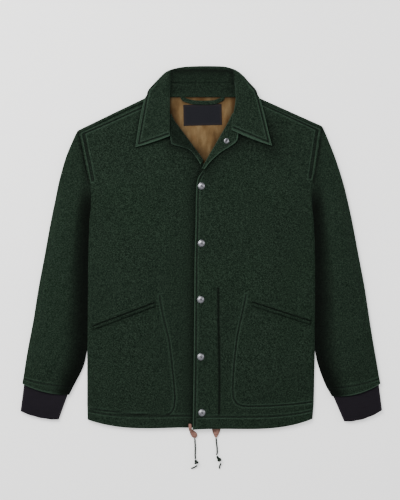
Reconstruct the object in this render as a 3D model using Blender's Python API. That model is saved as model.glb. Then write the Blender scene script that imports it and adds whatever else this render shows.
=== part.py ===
"""Mackinaw jacket in felted wool, laid flat on its back: snaps done up, neck corners turned open.

Tables are in millimetres. x runs from the centre front towards the wearer's left,
y runs up from the hem at the centre front, and z is the height above the surface.
"""

import math

import bpy
from mathutils import Vector

MM = 0.001
SEAM = 0.3                # gap between two pieces that meet
WOOL = 3.6                # wool cloth with the lining it is backed by
FACING = 3.0              # wool facing at the lapels
LAPEL_CLEAR = 0.5         # from the front to the facing turned out over it
RIB_KNIT = 2.4
LINING = 1.0
LEATHER = 2.2
LOFT = 1.7                # air between a front and the back
TOP = WOOL + LOFT + WOOL  # height of a front above the surface
BODY_RISE = WOOL + SEAM   # where a piece lies on the back
FOLD_RADIUS = TOP / 2     # shoulder edge and sleeve edges

CENTRE_X = 2.75           # middle of the jacket's width, from the centre front
CENTRE_Y = 378.6          # middle of its height, above the hem

SIDE_ROUND = 9.0          # how far the side of a front rounds over
SEAM_IN_FRONT = 7.0       # shoulder seam, in front of the shoulder edge
GRID = 34.0               # spacing of the sections along a panel

SNAP_DIAMETER = 15.0
SNAP_HEIGHT = 3.4
SOCKET_DIAMETER = 11.0
CORD_DIAMETER = 3.6

# Fronts: each row is a section from the front edge to the side.
# front_x, front_y, side_x, side_y, rounding of the side, dip of the section
FRONT_RIGHT = (
    (30, 0, -242, 18, 1, -12),
    (30, 7, -242.3, 23, 1, -11),
    (30, 40, -243, 50, 1, -6),
    (30, 140, -243, 146, 1, 0),
    (30, 250, -242.5, 255, 1, 0),
    (30, 360, -242, 363, 1, 0),
    (30, 440, -239.5, 430, 1, 0),
    (28, 500, -238.5, 490, 1, 0),
    (22, 540, -238.5, 522, 0.8, 0),
    (7.4, 569.3, -241, 541, 0.2, 0),
    (-12, 595.7, -244.6, 559, 0, 0),
    (-36, 628.2, -249, 581, 0, 0),
    (-58, 658, -253.6, 604, 0, 0),
    (-67, 678, -257, 621, 0, 0),
    (-70.6, 717.6, -259.2, 628.7, 0, 0),
    (-71, 724, -260, 633.5, 0, 0),
)
FRONT_LEFT = (
    (-15.7, -4, 241, 19, 1, -12),
    (-15.6, 3, 241.8, 25, 1, -11),
    (-15, 40, 245, 52, 1, -6),
    (-13.5, 140, 247, 146, 1, 0),
    (-12.5, 250, 248.5, 258, 1, 0),
    (-11.5, 360, 249, 366, 1, 0),
    (-9.5, 440, 246.5, 434, 1, 0),
    (-8.5, 500, 244.5, 492, 1, 0),
    (-5.5, 534, 244, 523, 0.8, 0),
    (5.5, 553, 246.1, 543, 0.2, 0),
    (15, 569.5, 248.6, 560, 0, 0),
    (29.2, 594, 251.5, 580, 0, 0),
    (44.2, 620, 254.3, 598, 0, 0),
    (60.2, 648, 257, 617, 0, 0),
    (76, 680, 259.2, 631, 0, 0),
    (82.6, 716, 260.2, 637.6, 0, 0),
    (83, 722, 260.7, 642.6, 0, 0),
)

# Back: x, hem height, top height, how far the top rolls over the shoulder
BACK = (
    (-261.5, 18, 641, 1),
    (-256, 17, 643.6, 1),
    (-225, 9, 658.5, 1),
    (-185, 3.5, 678, 1),
    (-145, 1.5, 697, 1),
    (-118, 1, 710, 1),
    (-82, 0.5, 724, 0),
    (-66, 0.5, 717.5, 0),
    (-35, 0, 715.4, 0),
    (5, 0, 714.8, 0),
    (45, 0, 715.6, 0),
    (78, 0.5, 718.5, 0),
    (92, 1, 723.6, 0),
    (127, 1, 710.4, 1),
    (165, 2, 693.4, 1),
    (198, 6, 678.6, 1),
    (232, 12, 663.4, 1),
    (256, 17, 652.7, 1),
    (262, 19, 650, 1),
)
# Side of the back: height, x on the wearer's right, x on the wearer's left
BACK_SIDES = (
    (0, -241.8, 240.6),
    (50, -243, 245),
    (146, -243, 247),
    (258, -242.5, 248.5),
    (363, -242, 249),
    (432, -239.5, 246.5),
    (490, -238.5, 244.5),
    (529, -238.5, 244),
    (641, -261.2, 260.7),
    (650, -261.5, 262),
    (800, -262, 262),
)

# Sleeves: each row is a section from the outer fold to the underarm
# outer_x, outer_y, inner_x, inner_y, height, dip of the section
SLEEVE_RIGHT = (
    (-262.6, 640.6, -240, 528.4, 8.9, 0),
    (-268.5, 630.5, -240.4, 522, 9.1, 0),
    (-288, 585, -241.2, 497, 10.2, 0),
    (-303, 533, -242, 465, 10.6, 0),
    (-312, 490, -243, 430, 10.6, 0),
    (-322.5, 439, -244.2, 385, 10.6, 0),
    (-335, 370, -244.6, 325, 10.6, 0),
    (-348, 301, -244.8, 262, 10.4, 0),
    (-359, 232, -245, 200, 10.2, 0),
    (-368, 185, -245.2, 158, 10, 0),
    (-375, 145, -252, 129, 10, -1),
    (-380, 112, -269, 95, 9.8, -3),
    (-382.4, 99, -279.5, 75, 9.5, -6),
    (-383, 95, -281, 71, 9.4, -6.5),
)
SLEEVE_LEFT = (
    (262.9, 649.6, 245.1, 528.4, 8.9, 0),
    (269.5, 635.5, 245.5, 522, 9.1, 0),
    (290, 585, 246.8, 497, 10.2, 0),
    (307, 533, 248.2, 465, 10.6, 0),
    (318, 490, 249.6, 430, 10.6, 0),
    (329, 439, 251, 385, 10.6, 0),
    (342, 370, 251.2, 325, 10.6, 0),
    (355, 301, 251, 262, 10.4, 0),
    (365.5, 232, 250, 200, 10.2, 0),
    (373, 185, 249.4, 158, 10, 0),
    (380, 145, 256, 129, 10, -1),
    (385.6, 112, 270, 92, 9.8, -4),
    (388.2, 99, 281.5, 72, 9.5, -8.5),
    (389, 95, 283, 68, 9.4, -9),
)
# Cuff's free edge: outer_x, outer_y, inner_x, inner_y, dip
CUFF_RIGHT_EDGE = (-386.5, 36, -304, 18, -5)
CUFF_LEFT_EDGE = (392, 38, 310, 14, -7)
CUFF_HEIGHT = 7.4
CUFF_INSET = 4.0          # the cuff is narrower than the sleeve hem at each end
CUFF_RIBS = 20            # on the upper face
RIB_HEIGHT = 0.55

# Collar leaf on a front: where it rolls, its outer edge, heights of foot, crest and edge
# roll_x, roll_y, edge_x, edge_y, foot_z, crest_z, edge_z
LEAF_RIGHT = (
    (-64, 628, -139, 603.5, 14.8, 16.7, 13.2),
    (-64.2, 634, -137.8, 611, 14.8, 16.8, 13.2),
    (-64.5, 652, -134, 637, 14.8, 17, 13),
    (-64.5, 674, -129, 668, 14.6, 17, 12.9),
    (-64.5, 696, -124, 691, 12, 17, 12.8),
    (-64.5, 711, -119.5, 708.5, 10, 17, 12.6),
)
LEAF_LEFT = (
    (77, 711, 129.5, 708.5, 10, 17, 12.6),
    (75.5, 697, 134.5, 690, 12, 17, 12.8),
    (72, 678, 140, 668, 14.6, 17, 12.9),
    (68.5, 660, 146, 641, 14.8, 17, 13),
    (67.4, 646, 153, 613.5, 14.8, 16.8, 13.2),
    (67, 641, 155, 607, 14.8, 16.7, 13.2),
)
# Collar turning over the shoulder: foot, roll, outline, edge of the fall underneath, crest height
# foot_x, foot_y, roll_x, roll_y, out_x, out_y, under_x, under_y, crest_z, share turned under
TURN_RIGHT = (
    (-64, 723, -64.6, 720, -115.5, 720.5, -111, 721.5, 17, 0.5),
    (-63.6, 735, -64.8, 730, -109.5, 731, -103, 727, 17, 1),
    (-61.4, 743.2, -64.8, 743, -98, 743, -86, 736, 16.6, 1),
    (-57, 743.2, -64.5, 758, -84, 758, -71, 735, 16, 1),
    (-50, 743.2, -60.5, 770.5, -71, 770, -61, 733, 13.8, 1),
)
TURN_LEFT = (
    (62, 743.2, 66, 769, 78, 771.5, 70, 734, 13.8, 1),
    (69, 743.2, 71, 758, 94, 759, 80, 736, 16, 1),
    (73.6, 743.2, 75, 743, 107, 743, 96, 736, 16.6, 1),
    (76, 735, 76.8, 730, 119, 731, 113, 727, 17, 1),
    (76.6, 723, 77, 720, 125, 720.5, 120.5, 721.5, 17, 0.5),
)
# Collar behind the neck: x, height of the roll, height of the fall's edge underneath
COLLAR_BACK = (
    (-38, 777.8, 722),
    (-14, 779, 720),
    (14, 779.6, 720),
    (40, 779.2, 720),
    (55, 778.4, 724),
)
LEAF_EDGE = 12.6          # height of the leaf's outer edge at the shoulder
COLLAR_CORNER = 0.55      # wall left where the collar turns its corners
COLLAR_PRESSED = (0.7, 0.7, 0.75, 0.9, 1, 0.9, 0.7, 0.4)  # wall left, from the outer edge to the foot
STAND_SEAM = 743.2        # the collar's edge at its seam with the stand
STAND_INSIDE = 9.6        # height of that seam
BACK_ROLL = 10.3          # height of the collar behind the neck

# Stand: height, x on the right, x on the left, z
STAND = (
    (712, -62.2, 75.4, 7.5),
    (715, -62.2, 75.3, 7.7),
    (727, -61.8, 74.8, 8.6),
    (739.5, -60.5, 72.5, 9.3),
    (742.7, -59.8, 72, 9.5),
)
# Lining where the neck shows it: height, x on the right, x on the left
LINING_ROWS = (
    (711.5, -68, 82),
    (706, -69, 82),
    (671, -68, 78),
    (640, -47, 58),
    (604, -20, 36),
    (580, -3, 24),
    (566, 4, 18),
)
# Lapels: points on the roll line and on the free edge
# roll_x, roll_y, edge_x, edge_y
LAPEL_RIGHT = (
    (7.5, 576.5, 1.5, 566),
    (0, 587, -7, 580),
    (-14, 606, -22, 597),
    (-30, 627.6, -41, 604.5),
    (-44, 646.6, -61, 611),
    (-55, 661.5, -65, 634),
    (-62, 676, -75, 660),
)
LAPEL_LEFT = (
    (3.6, 557.5, 9.5, 555.5),
    (11, 572, 22, 572),
    (26, 598, 44, 592),
    (41, 624, 64, 604.5),
    (52, 643, 80, 618),
    (62, 661, 83, 640),
    (70.5, 678, 88, 664),
)
LABEL = (5.6, 673.5, 82, 45)      # x, y, width, height
LABEL_TURN = 1.5                  # degrees
LABEL_THICKNESS = 0.6

# Hanger loop: x, y, z of its middle
HANGER = (
    (-36, 708.6, 6.2),
    (-27, 704.5, 6.6),
    (-15, 701.6, 7.2),
    (8, 700.6, 7.6),
    (30, 701.6, 7.2),
    (40, 705, 6.6),
    (47.5, 708.6, 6.2),
)
HANGER_WIDTH = 7.0
HANGER_THICKNESS = 1.4

# Pocket slits: inner end x, y and outer end x, y
SLIT_RIGHT = (-100, 268.5, -229, 219.5)
SLIT_LEFT = (113, 270.5, 238, 230)
UPPER_WELT = 8.4
LOWER_WELT = 6.6
WELT_THICKNESS = 2.2

SNAPS = ((3, 520), (3, 397), (1.5, 276), (1.5, 153), (4, 33))
SOCKET = (57, 617)

# Leather tabs: x, y, half width, height of the upper face
TAB_RIGHT = (
    (-21.6, 9, 2.6, 10.2),
    (-21.4, 5, 3.4, 10.2),
    (-21.2, -0.6, 3.5, 10.2),
    (-20.4, -4.4, 3.7, 8.2),
    (-18.4, -7, 5, 4.2),
    (-15.4, -9.8, 6.8, 2.8),
    (-13.6, -13.4, 7.6, 2.6),
    (-12.4, -17.4, 6.9, 2.6),
    (-11.8, -20.6, 4.8, 2.6),
    (-11.5, -22.4, 2.2, 2.6),
)
TAB_LEFT = (
    (35, -0.9, 9.4, 2.6),
    (35, -4, 9.2, 2.6),
    (34.8, -9, 8, 2.6),
    (34.6, -14, 6, 2.6),
    (34.5, -18.5, 3.8, 2.6),
    (34.5, -21.4, 1.8, 2.6),
)

# Drawcord: points of each stretch that lies free, with its lift off the surface, and its knots
CORD_RIGHT = (
    (-11.3, -22.8, 0),
    (-10.6, -34, 0),
    (-10.2, -46, 0),
    (-10.4, -58, 0.2),
    (-10.2, -68.2, 2.4),
)
TAIL_RIGHT = ((-6.2, -80.9, 2), (-9, -83.4, 0.8), (-14, -86.4, 0), (-19.4, -88, 0))
KNOT_RIGHT = (-8.2, -74, 5.6, 4.6, -70)   # x, y, half length, half width, turn in degrees
CORD_LEFT = (
    (34.5, -21.8, 0),
    (35.4, -32, 0),
    (36.6, -43, 0),
    (37, -52.6, 0.3),
    (35.8, -59.2, 2),
)
TAIL_LEFT = ((45.3, -76.1, 1.6), (43.6, -80, 0.6), (42.2, -84, 0), (42, -89, 0))
KNOT_LEFT = (40.4, -67.4, 8.2, 4.2, -56)

# Largest folds in the fronts: x, y, direction in degrees, half length, half width, height
FRONT_FOLDS = (
    (-205, 430, 78, 120, 16, 1.3),
    (-150, 90, 96, 90, 20, 1.0),
    (-60, 420, 96, 130, 22, 0.9),
    (150, 400, 96, 130, 20, 1.0),
    (214, 440, 100, 110, 16, 1.3),
    (60, 150, 86, 90, 22, 0.9),
)
SLEEVE_FOLDS = (
    (-300, 400, 62, 70, 12, 1.4),
    (-330, 300, 40, 42, 11, 1.3),
    (-300, 215, 65, 60, 12, 1.2),
    (-345, 150, 30, 32, 10, 1.2),
    (305, 400, 118, 70, 12, 1.4),
    (335, 300, 140, 42, 11, 1.3),
    (305, 215, 115, 60, 12, 1.2),
    (350, 150, 150, 32, 10, 1.2),
)


def clear_scene():
    for item in list(bpy.data.objects):
        bpy.data.objects.remove(item, do_unlink=True)


def finish(name, colour, roughness, metallic=0.0):
    """One Principled material."""
    made = bpy.data.materials.new(name)
    made.use_nodes = True
    shader = made.node_tree.nodes["Principled BSDF"]
    shader.inputs["Base Color"].default_value = (*colour, 1.0)
    shader.inputs["Roughness"].default_value = roughness
    shader.inputs["Metallic"].default_value = metallic
    return made


def mix(a, b, t):
    return a + (b - a) * t


def ease(low, high, value):
    """0 below low, 1 above high, smooth between."""
    t = min(1.0, max(0.0, (value - low) / (high - low)))
    return t * t * (3.0 - 2.0 * t)


def at(x, y, z):
    """A point of the tables as a world point."""
    return Vector(((x - CENTRE_X) * MM, (y - CENTRE_Y) * MM, z * MM))


def catmull(p0, p1, p2, p3, t):
    """Smooth value between p1 and p2."""
    return 0.5 * (2 * p1 + (p2 - p0) * t + (2 * p0 - 5 * p1 + 4 * p2 - p3) * t * t
                  + (3 * p1 - p0 - 3 * p2 + p3) * t * t * t)


def between(rows, spacing, smooth=True):
    """Keep every row of a table and add smooth rows between them, at most spacing apart."""
    out = []
    last = len(rows) - 1
    for i in range(last):
        p1 = rows[i]
        p2 = rows[i + 1]
        p0 = rows[max(i - 1, 0)]
        p3 = rows[min(i + 2, last)]
        apart = math.dist(p1[:2], p2[:2])
        steps = max(1, math.ceil(apart / spacing))
        for k in range(steps):
            t = k / steps
            if smooth:
                out.append(tuple(catmull(a, b, c, d, t) for a, b, c, d in zip(p0, p1, p2, p3)))
            else:
                out.append(tuple(mix(b, c, t) for b, c in zip(p1, p2)))
    out.append(tuple(rows[-1]))
    return out


def look_up(table, key):
    """Values of a table's row at a height, straight between rows."""
    for low, high in zip(table, table[1:]):
        if key <= high[0]:
            t = max(0.0, (key - low[0]) / (high[0] - low[0]))
            return [mix(a, b, t) for a, b in zip(low[1:], high[1:])]
    return list(table[-1][1:])


def folds(table, x, y):
    """Height of the soft folds at a point."""
    rise = 0.0
    for fold_x, fold_y, direction, half_length, half_width, height in table:
        turn = math.radians(direction)
        dx = x - fold_x
        dy = y - fold_y
        along = (dx * math.cos(turn) + dy * math.sin(turn)) / half_length
        across = (dy * math.cos(turn) - dx * math.sin(turn)) / half_width
        if abs(along) < 1:
            rise += height * math.exp(-across * across) * (1 - along * along) ** 2
    return rise


def under_front_top(x, y):
    """Height of the wearer's right front, lower where the other front laps over it."""
    lapped = ease(-64, -22, x) * (1 - ease(518, 552, y))
    return TOP - 1.4 * lapped + folds(FRONT_FOLDS, x, y) * (1 - ease(-60, -30, x))


def over_front_top(x, y):
    """Height of the wearer's left front, raised where it laps over the other."""
    carried = under_front_top(30, min(y, 552)) + SEAM + WOOL - TOP
    lap = (1 - ease(34, 96, x)) * (1 - ease(572, 612, y))
    return TOP + carried * lap + folds(FRONT_FOLDS, x, y) * ease(30, 60, x)


def solid(name, vertices, faces, material):
    """One closed body with its faces turned out."""
    mesh = bpy.data.meshes.new(name)
    mesh.from_pydata(vertices, [], faces)
    mesh.materials.append(material)
    mesh.validate()
    volume = 0.0
    for face in mesh.polygons:
        corners = [mesh.vertices[i].co for i in face.vertices]
        for b, c in zip(corners[1:], corners[2:]):
            volume += corners[0].dot(b.cross(c))
    if volume < 0:
        mesh.flip_normals()
    mesh.shade_smooth()
    mesh.set_sharp_from_angle(angle=math.radians(50))
    item = bpy.data.objects.new(name, mesh)
    bpy.context.scene.collection.objects.link(item)
    return item


def outward(grid, i, j):
    """Normal of a grid of points."""
    rows = len(grid)
    columns = len(grid[0])
    along = grid[min(i + 1, rows - 1)][j] - grid[max(i - 1, 0)][j]
    across = grid[i][min(j + 1, columns - 1)] - grid[i][max(j - 1, 0)]
    return across.cross(along).normalized()


def wall(name, grid, thickness, material, floor=0.0, thinned=None):
    """Cloth wall: the grid is its outer face, and the inner face lies a thickness behind it.

    The inner face reaches no lower than the floor. Where the cloth is pressed into a tight
    fold, thinned gives the share of the thickness that is left.
    """
    rows = len(grid)
    columns = len(grid[0])
    outer = [point for row in grid for point in row]
    inner = []
    for i in range(rows):
        for j in range(columns):
            left = thinned(i, j) if thinned else 1.0
            point = grid[i][j] - outward(grid, i, j) * thickness * left * MM
            point.z = max(point.z, floor * MM)
            inner.append(point)
    count = rows * columns
    faces = []
    for i in range(rows - 1):
        for j in range(columns - 1):
            a = i * columns + j
            faces.append((a, a + 1, a + columns + 1, a + columns))
            faces.append((count + a + columns, count + a + columns + 1, count + a + 1, count + a))
    rim = [j for j in range(columns)]
    rim += [i * columns + columns - 1 for i in range(1, rows)]
    rim += [(rows - 1) * columns + j for j in range(columns - 2, -1, -1)]
    rim += [i * columns for i in range(rows - 2, 0, -1)]
    for a, b in zip(rim, rim[1:] + rim[:1]):
        faces.append((b, a, count + a, count + b))
    return solid(name, outer + inner, faces, material)


def tube(name, outer, inner, material):
    """Open tube: rings of its outer and inner faces, joined at both ends."""
    rows = len(outer)
    columns = len(outer[0])
    points = [point for ring in outer for point in ring] + [point for ring in inner for point in ring]
    count = rows * columns
    faces = []
    for i in range(rows - 1):
        for j in range(columns):
            a = i * columns + j
            b = i * columns + (j + 1) % columns
            faces.append((a, b, b + columns, a + columns))
            faces.append((count + a + columns, count + b + columns, count + b, count + a))
    for j in range(columns):
        b = (j + 1) % columns
        faces.append((b, j, count + j, count + b))
        a = (rows - 1) * columns + j
        b += (rows - 1) * columns
        faces.append((a, b, count + b, count + a))
    return solid(name, points, faces, material)


def front_panel(name, table, top, material):
    """A front, from its front edge across to the side, where it rounds over to the side seam."""
    flat = (0, 0.016, 0.12, 0.26, 0.4, 0.54, 0.68, 0.82, 0.93)
    angles = (0, 30, 60, 90)
    grid = []
    for front_x, front_y, side_x, side_y, rounding, dip in between(table, GRID):
        rounding = min(1.0, max(0.0, rounding))
        row = []
        width = abs(side_x - front_x)
        shares = [(share, 0) for share in flat]
        shares += [(1 - (1 - math.sin(math.radians(angle))) * SIDE_ROUND / width, angle) for angle in angles]
        for share, angle in shares:
            x = mix(front_x, side_x, share)
            y = mix(front_y, side_y, share) + dip * 6.75 * share * share * (1 - share)
            z = top(x, y)
            z -= rounding * (z - BODY_RISE) * (1 - math.cos(math.radians(angle)))
            row.append(at(x, y, z))
        grid.append(row if side_x > front_x else row[::-1])
    return wall(name, grid, WOOL, material, floor=BODY_RISE)


def back_panel(material):
    """The back: flat underneath, its top edge rolled over the shoulders to the seam."""
    shares = (0, 0.012, 0.06, 0.2, 0.38, 0.56, 0.7, 0.82, 0.91)
    angles = (0, 45, 90, 135, 180)
    grid = []
    first = BACK[0][0]
    last = BACK[-1][0]
    for x, hem, top, roll in BACK:
        across = (x - first) / (last - first)
        column = []
        straight = top - FOLD_RADIUS

        def place(y, z):
            right, left = look_up(BACK_SIDES, y)
            column.append(at(mix(right, left, across), y, z))

        for share in shares:
            place(mix(hem, straight, share), 0)
        for angle in angles:
            turn = math.radians(angle)
            rolled = straight + FOLD_RADIUS * math.sin(turn)
            plain = straight + (FOLD_RADIUS - 1) * angle / 180
            place(mix(plain, rolled, roll), roll * FOLD_RADIUS * (1 - math.cos(turn)))
        place(mix(top, top - SEAM_IN_FRONT, roll), roll * TOP)
        grid.append(column)
    turned_in = {i for i in range(1, len(BACK) - 1) if BACK[i - 1][3] + BACK[i + 1][3] == 1}

    def pressed(i, j):
        return 0.45 if i in turned_in and j > len(shares) else 1.0

    return wall("back", grid, WOOL, material, thinned=pressed)


def flat_ring(row, height, inset, top_share, end_steps, bottom_share, rise=None, ribs=None):
    """Ring of a flattened tube between its two folds, moved in by an inset."""
    outer_x, outer_y, inner_x, inner_y, dip = row
    length = math.dist((outer_x, outer_y), (inner_x, inner_y))
    radius = height / 2 - inset
    section = []
    for share in top_share:
        section.append((mix(height / 2, length - height / 2, share), height - inset, 1, share))
    for k in range(1, end_steps):
        turn = math.pi * k / end_steps
        section.append((length - height / 2 + radius * math.sin(turn), height / 2 + radius * math.cos(turn), 0, 0))
    for share in bottom_share:
        section.append((mix(length - height / 2, height / 2, share), inset, 0, 0))
    for k in range(1, end_steps):
        turn = math.pi * k / end_steps
        section.append((height / 2 - radius * math.sin(turn), height / 2 - radius * math.cos(turn), 0, 0))
    ring = []
    for distance, z, upper, share in section:
        t = distance / length
        x = mix(outer_x, inner_x, t)
        y = mix(outer_y, inner_y, t) + dip * 4 * t * (1 - t)
        if upper and rise:
            z += rise(x, y)
        if upper and ribs and inset == 0:
            z += ribs(share)
        ring.append(at(x, y, z))
    return ring


def sleeve(name, table, material):
    """Sleeve, a flattened tube from the armhole to its hem."""
    top_share = [k / 8 for k in range(9)]
    bottom_share = [k / 3 for k in range(4)]
    outer = []
    inner = []
    for outer_x, outer_y, inner_x, inner_y, height, dip in between(table, GRID):
        row = (outer_x, outer_y, inner_x, inner_y, dip)

        def rise(x, y):
            return folds(SLEEVE_FOLDS, x, y)

        outer.append(flat_ring(row, height, 0, top_share, 4, bottom_share, rise))
        inner.append(flat_ring(row, height, WOOL, top_share, 4, bottom_share, rise))
    return tube(name, outer, inner, material)


def cuff(name, sleeve_table, edge, material):
    """Rib-knit cuff, from the sleeve's hem to its free edge."""
    hem = sleeve_table[-1]
    length = math.dist(hem[:2], hem[2:4])
    t = CUFF_INSET / length
    end_dip = hem[5] * 4 * t * (1 - t)
    middle = (mix(hem[0], hem[2], 0.5), mix(hem[1], hem[3], 0.5))
    edge_middle = (mix(edge[0], edge[2], 0.5), mix(edge[1], edge[3], 0.5))
    reach = math.dist(middle, edge_middle)
    down_x = (edge_middle[0] - middle[0]) / reach * SEAM * 2
    down_y = (edge_middle[1] - middle[1]) / reach * SEAM * 2 + end_dip
    start = (mix(hem[0], hem[2], t) + down_x, mix(hem[1], hem[3], t) + down_y,
             mix(hem[0], hem[2], 1 - t) + down_x, mix(hem[1], hem[3], 1 - t) + down_y, hem[5] - end_dip)
    steps = 2 * CUFF_RIBS
    top_share = [k / steps for k in range(steps + 1)]
    bottom_share = [k / 4 for k in range(5)]

    def ribs(share):
        return RIB_HEIGHT * (round(share * steps) % 2)

    outer = []
    inner = []
    for along in (0, 0.08, 0.5, 0.92, 1):
        row = tuple(mix(a, b, along) for a, b in zip(start, edge))
        outer.append(flat_ring(row, CUFF_HEIGHT, 0, top_share, 4, bottom_share, ribs=ribs))
        inner.append(flat_ring(row, CUFF_HEIGHT, RIB_KNIT, top_share, 4, bottom_share))
    return tube(name, outer, inner, material)


def leaf_section(row, dip):
    """Section of the collar where it lies on a front, from its foot to its outer edge."""
    roll_x, roll_y, edge_x, edge_y, foot_z, crest_z, edge_z = row
    width = math.dist((roll_x, roll_y), (edge_x, edge_y))
    heights = (
        (0.0, foot_z),
        (0.9, mix(foot_z, crest_z, 0.75)),
        (4.4, crest_z),
        (0.3 * width, mix(crest_z, edge_z, 0.25)),
        (0.55 * width, mix(crest_z, edge_z, 0.55)),
        (0.8 * width, mix(crest_z, edge_z, 0.85)),
        (width - 3.0, edge_z + 0.1),
        (width, edge_z),
    )
    section = []
    for distance, z in heights:
        t = distance / width
        section.append((mix(roll_x, edge_x, t), mix(roll_y, edge_y, t) + dip * 4 * t * (1 - t), z))
    return section


def turn_section(row):
    """Section of the collar where it turns over the shoulder and ends underneath."""
    foot_x, foot_y, roll_x, roll_y, out_x, out_y, under_x, under_y, crest_z, tuck = row
    away_x = math.copysign(3.0, out_x - roll_x)
    return [
        (foot_x, foot_y, STAND_INSIDE),
        (roll_x, roll_y, mix(STAND_INSIDE, crest_z, 0.5)),
        (mix(roll_x, out_x, 0.15), mix(roll_y, out_y, 0.15), crest_z),
        (mix(roll_x, out_x, 0.55), mix(roll_y, out_y, 0.55), crest_z - 1.2),
        (out_x - away_x, out_y, crest_z - 4),
        (out_x, out_y, mix(LEAF_EDGE, crest_z * 0.42, tuck)),
        (mix(out_x, under_x, 0.3), mix(out_y, under_y, 0.3), mix(LEAF_EDGE, 0.8, tuck)),
        (under_x, under_y, mix(LEAF_EDGE, 0, tuck)),
    ]


def back_section(row):
    """Section of the collar behind the neck, over the roll and down underneath."""
    x, roll_y, under_y = row
    return [
        (x, STAND_SEAM, STAND_INSIDE),
        (x, STAND_SEAM + 12, BACK_ROLL - 0.2),
        (x, roll_y - 8, BACK_ROLL),
        (x, roll_y - 2.0, BACK_ROLL - 1.6),
        (x, roll_y, BACK_ROLL / 2),
        (x, roll_y - 2.0, 1.6),
        (x, roll_y - 8, 0),
        (x, under_y, 0),
    ]


def collar(material):
    """Collar: right leaf, round the back of the neck, left leaf."""
    sections = [leaf_section(row, -1.5) for row in LEAF_RIGHT]
    sections += [turn_section(row) for row in TURN_RIGHT]
    sections += [back_section(row) for row in COLLAR_BACK]
    sections += [turn_section(row) for row in TURN_LEFT]
    sections += [leaf_section(row, -3) for row in LEAF_LEFT]
    grid = []
    for section in sections:
        grid.append([at(*point) for point in section[::-1]])
    corners = (len(LEAF_RIGHT) - 1, len(LEAF_RIGHT), len(LEAF_RIGHT) + len(TURN_RIGHT) - 1)
    corners += tuple(len(sections) - 1 - i for i in corners)

    def pressed(i, j):
        return COLLAR_PRESSED[j] * (COLLAR_CORNER if i in corners else 1.0)

    return wall("collar", grid, WOOL, material, thinned=pressed)


def stand(material):
    grid = []
    for y, right, left, z in STAND:
        grid.append([at(mix(right, left, share), y, z) for share in (0, 0.03, 0.25, 0.5, 0.75, 0.97, 1)])
    return wall("collar_stand", grid, WOOL, material)


def lining(material):
    grid = []
    for y, right, left in between(LINING_ROWS[::-1], 30, smooth=False):
        row = [at(mix(right, left, share), y, BODY_RISE + LINING) for share in (0, 0.25, 0.5, 0.75, 1)]
        grid.append(row)
    return wall("lining", grid, LINING, material)


def lapel(name, table, top, material):
    """Facing turned out over a front, rounded down where it rolls."""
    grid = []
    for roll_x, roll_y, edge_x, edge_y in between(table, 18):
        width = math.dist((roll_x, roll_y), (edge_x, edge_y))
        row = []
        for distance, rise in ((0.2, 0.6 - WOOL), (0, 0), (1.4, FACING * 0.85), (4.2, FACING),
                               (0.5 * width + 2.1, FACING), (width, FACING)):
            t = distance / width
            x = mix(roll_x, edge_x, t)
            y = mix(roll_y, edge_y, t)
            row.append(at(x, y, top(x, y) + LAPEL_CLEAR + rise))
        grid.append(row if table[0][2] > table[0][0] else row[::-1])
    return wall(name, grid, FACING - SEAM, material)


def turned(name, profile, x, y, z, steps, material):
    """Round piece from a profile of radius and height, from its axis out, under and back."""
    points = []
    for radius, height in profile[1:-1]:
        for k in range(steps):
            turn = 2 * math.pi * k / steps
            points.append(at(x + radius * math.cos(turn), y + radius * math.sin(turn), z + height))
    rings = len(profile) - 2
    points.append(at(x, y, z + profile[0][1]))
    points.append(at(x, y, z + profile[-1][1]))
    faces = []
    for k in range(steps):
        following = (k + 1) % steps
        faces.append((rings * steps, k, following))
        faces.append((rings * steps + 1, (rings - 1) * steps + following, (rings - 1) * steps + k))
        for i in range(rings - 1):
            a = i * steps
            faces.append((a + k, a + steps + k, a + steps + following, a + following))
    return solid(name, points, faces, material)


def rest_on(top, x, y, radius):
    """Height at which a flat round piece clears a panel all round."""
    around = [top(x, y)]
    for k in range(8):
        turn = math.pi * k / 4
        around.append(top(x + radius * math.cos(turn), y + radius * math.sin(turn)))
    return max(around) + SEAM


def snap(name, x, y, z, material):
    """Domed snap cap on its flange."""
    radius = SNAP_DIAMETER / 2
    profile = (
        (0, SNAP_HEIGHT),
        (radius * 0.42, SNAP_HEIGHT * 0.95),
        (radius * 0.74, SNAP_HEIGHT * 0.76),
        (radius * 0.92, SNAP_HEIGHT * 0.5),
        (radius, SNAP_HEIGHT * 0.22),
        (radius * 0.97, 0),
        (0, 0),
    )
    return turned(name, profile, x, y, z, 20, material)


def snap_socket(x, y, z, material):
    """Open half of the neck snap, with a raised rim round a recess."""
    radius = SOCKET_DIAMETER / 2
    profile = (
        (0, 0.7),
        (radius * 0.42, 0.7),
        (radius * 0.5, 2.0),
        (radius * 0.72, 2.2),
        (radius * 0.84, 0.9),
        (radius, 0.6),
        (radius, 0),
        (0, 0),
    )
    return turned("snap_socket", profile, x, y, z, 20, material)


def welt(name, slit, offset, width, top, material):
    """Strip of wool along a pocket slit, on the front's own points."""
    inner_x, inner_y, outer_x, outer_y = slit
    length = math.dist((inner_x, inner_y), (outer_x, outer_y))
    up_x = -(outer_y - inner_y) / length
    up_y = (outer_x - inner_x) / length
    if up_y < 0:
        up_x = -up_x
        up_y = -up_y
    grid = []
    for share in (0, 0.02, 0.2, 0.4, 0.6, 0.8, 0.98, 1):
        x = mix(inner_x, outer_x, share)
        y = mix(inner_y, outer_y, share)
        row = []
        for side in (0, 0.12, 0.5, 0.88, 1):
            px = x + up_x * (offset + width * side)
            py = y + up_y * (offset + width * side)
            drop = 0.35 if side in (0, 1) or share in (0, 1) else 0
            row.append(at(px, py, top(px, py) + SEAM + WELT_THICKNESS - drop))
        grid.append(row)
    if outer_x > inner_x:
        grid = [row[::-1] for row in grid]
    return wall(name, grid, WELT_THICKNESS - 0.4, material)


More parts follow.
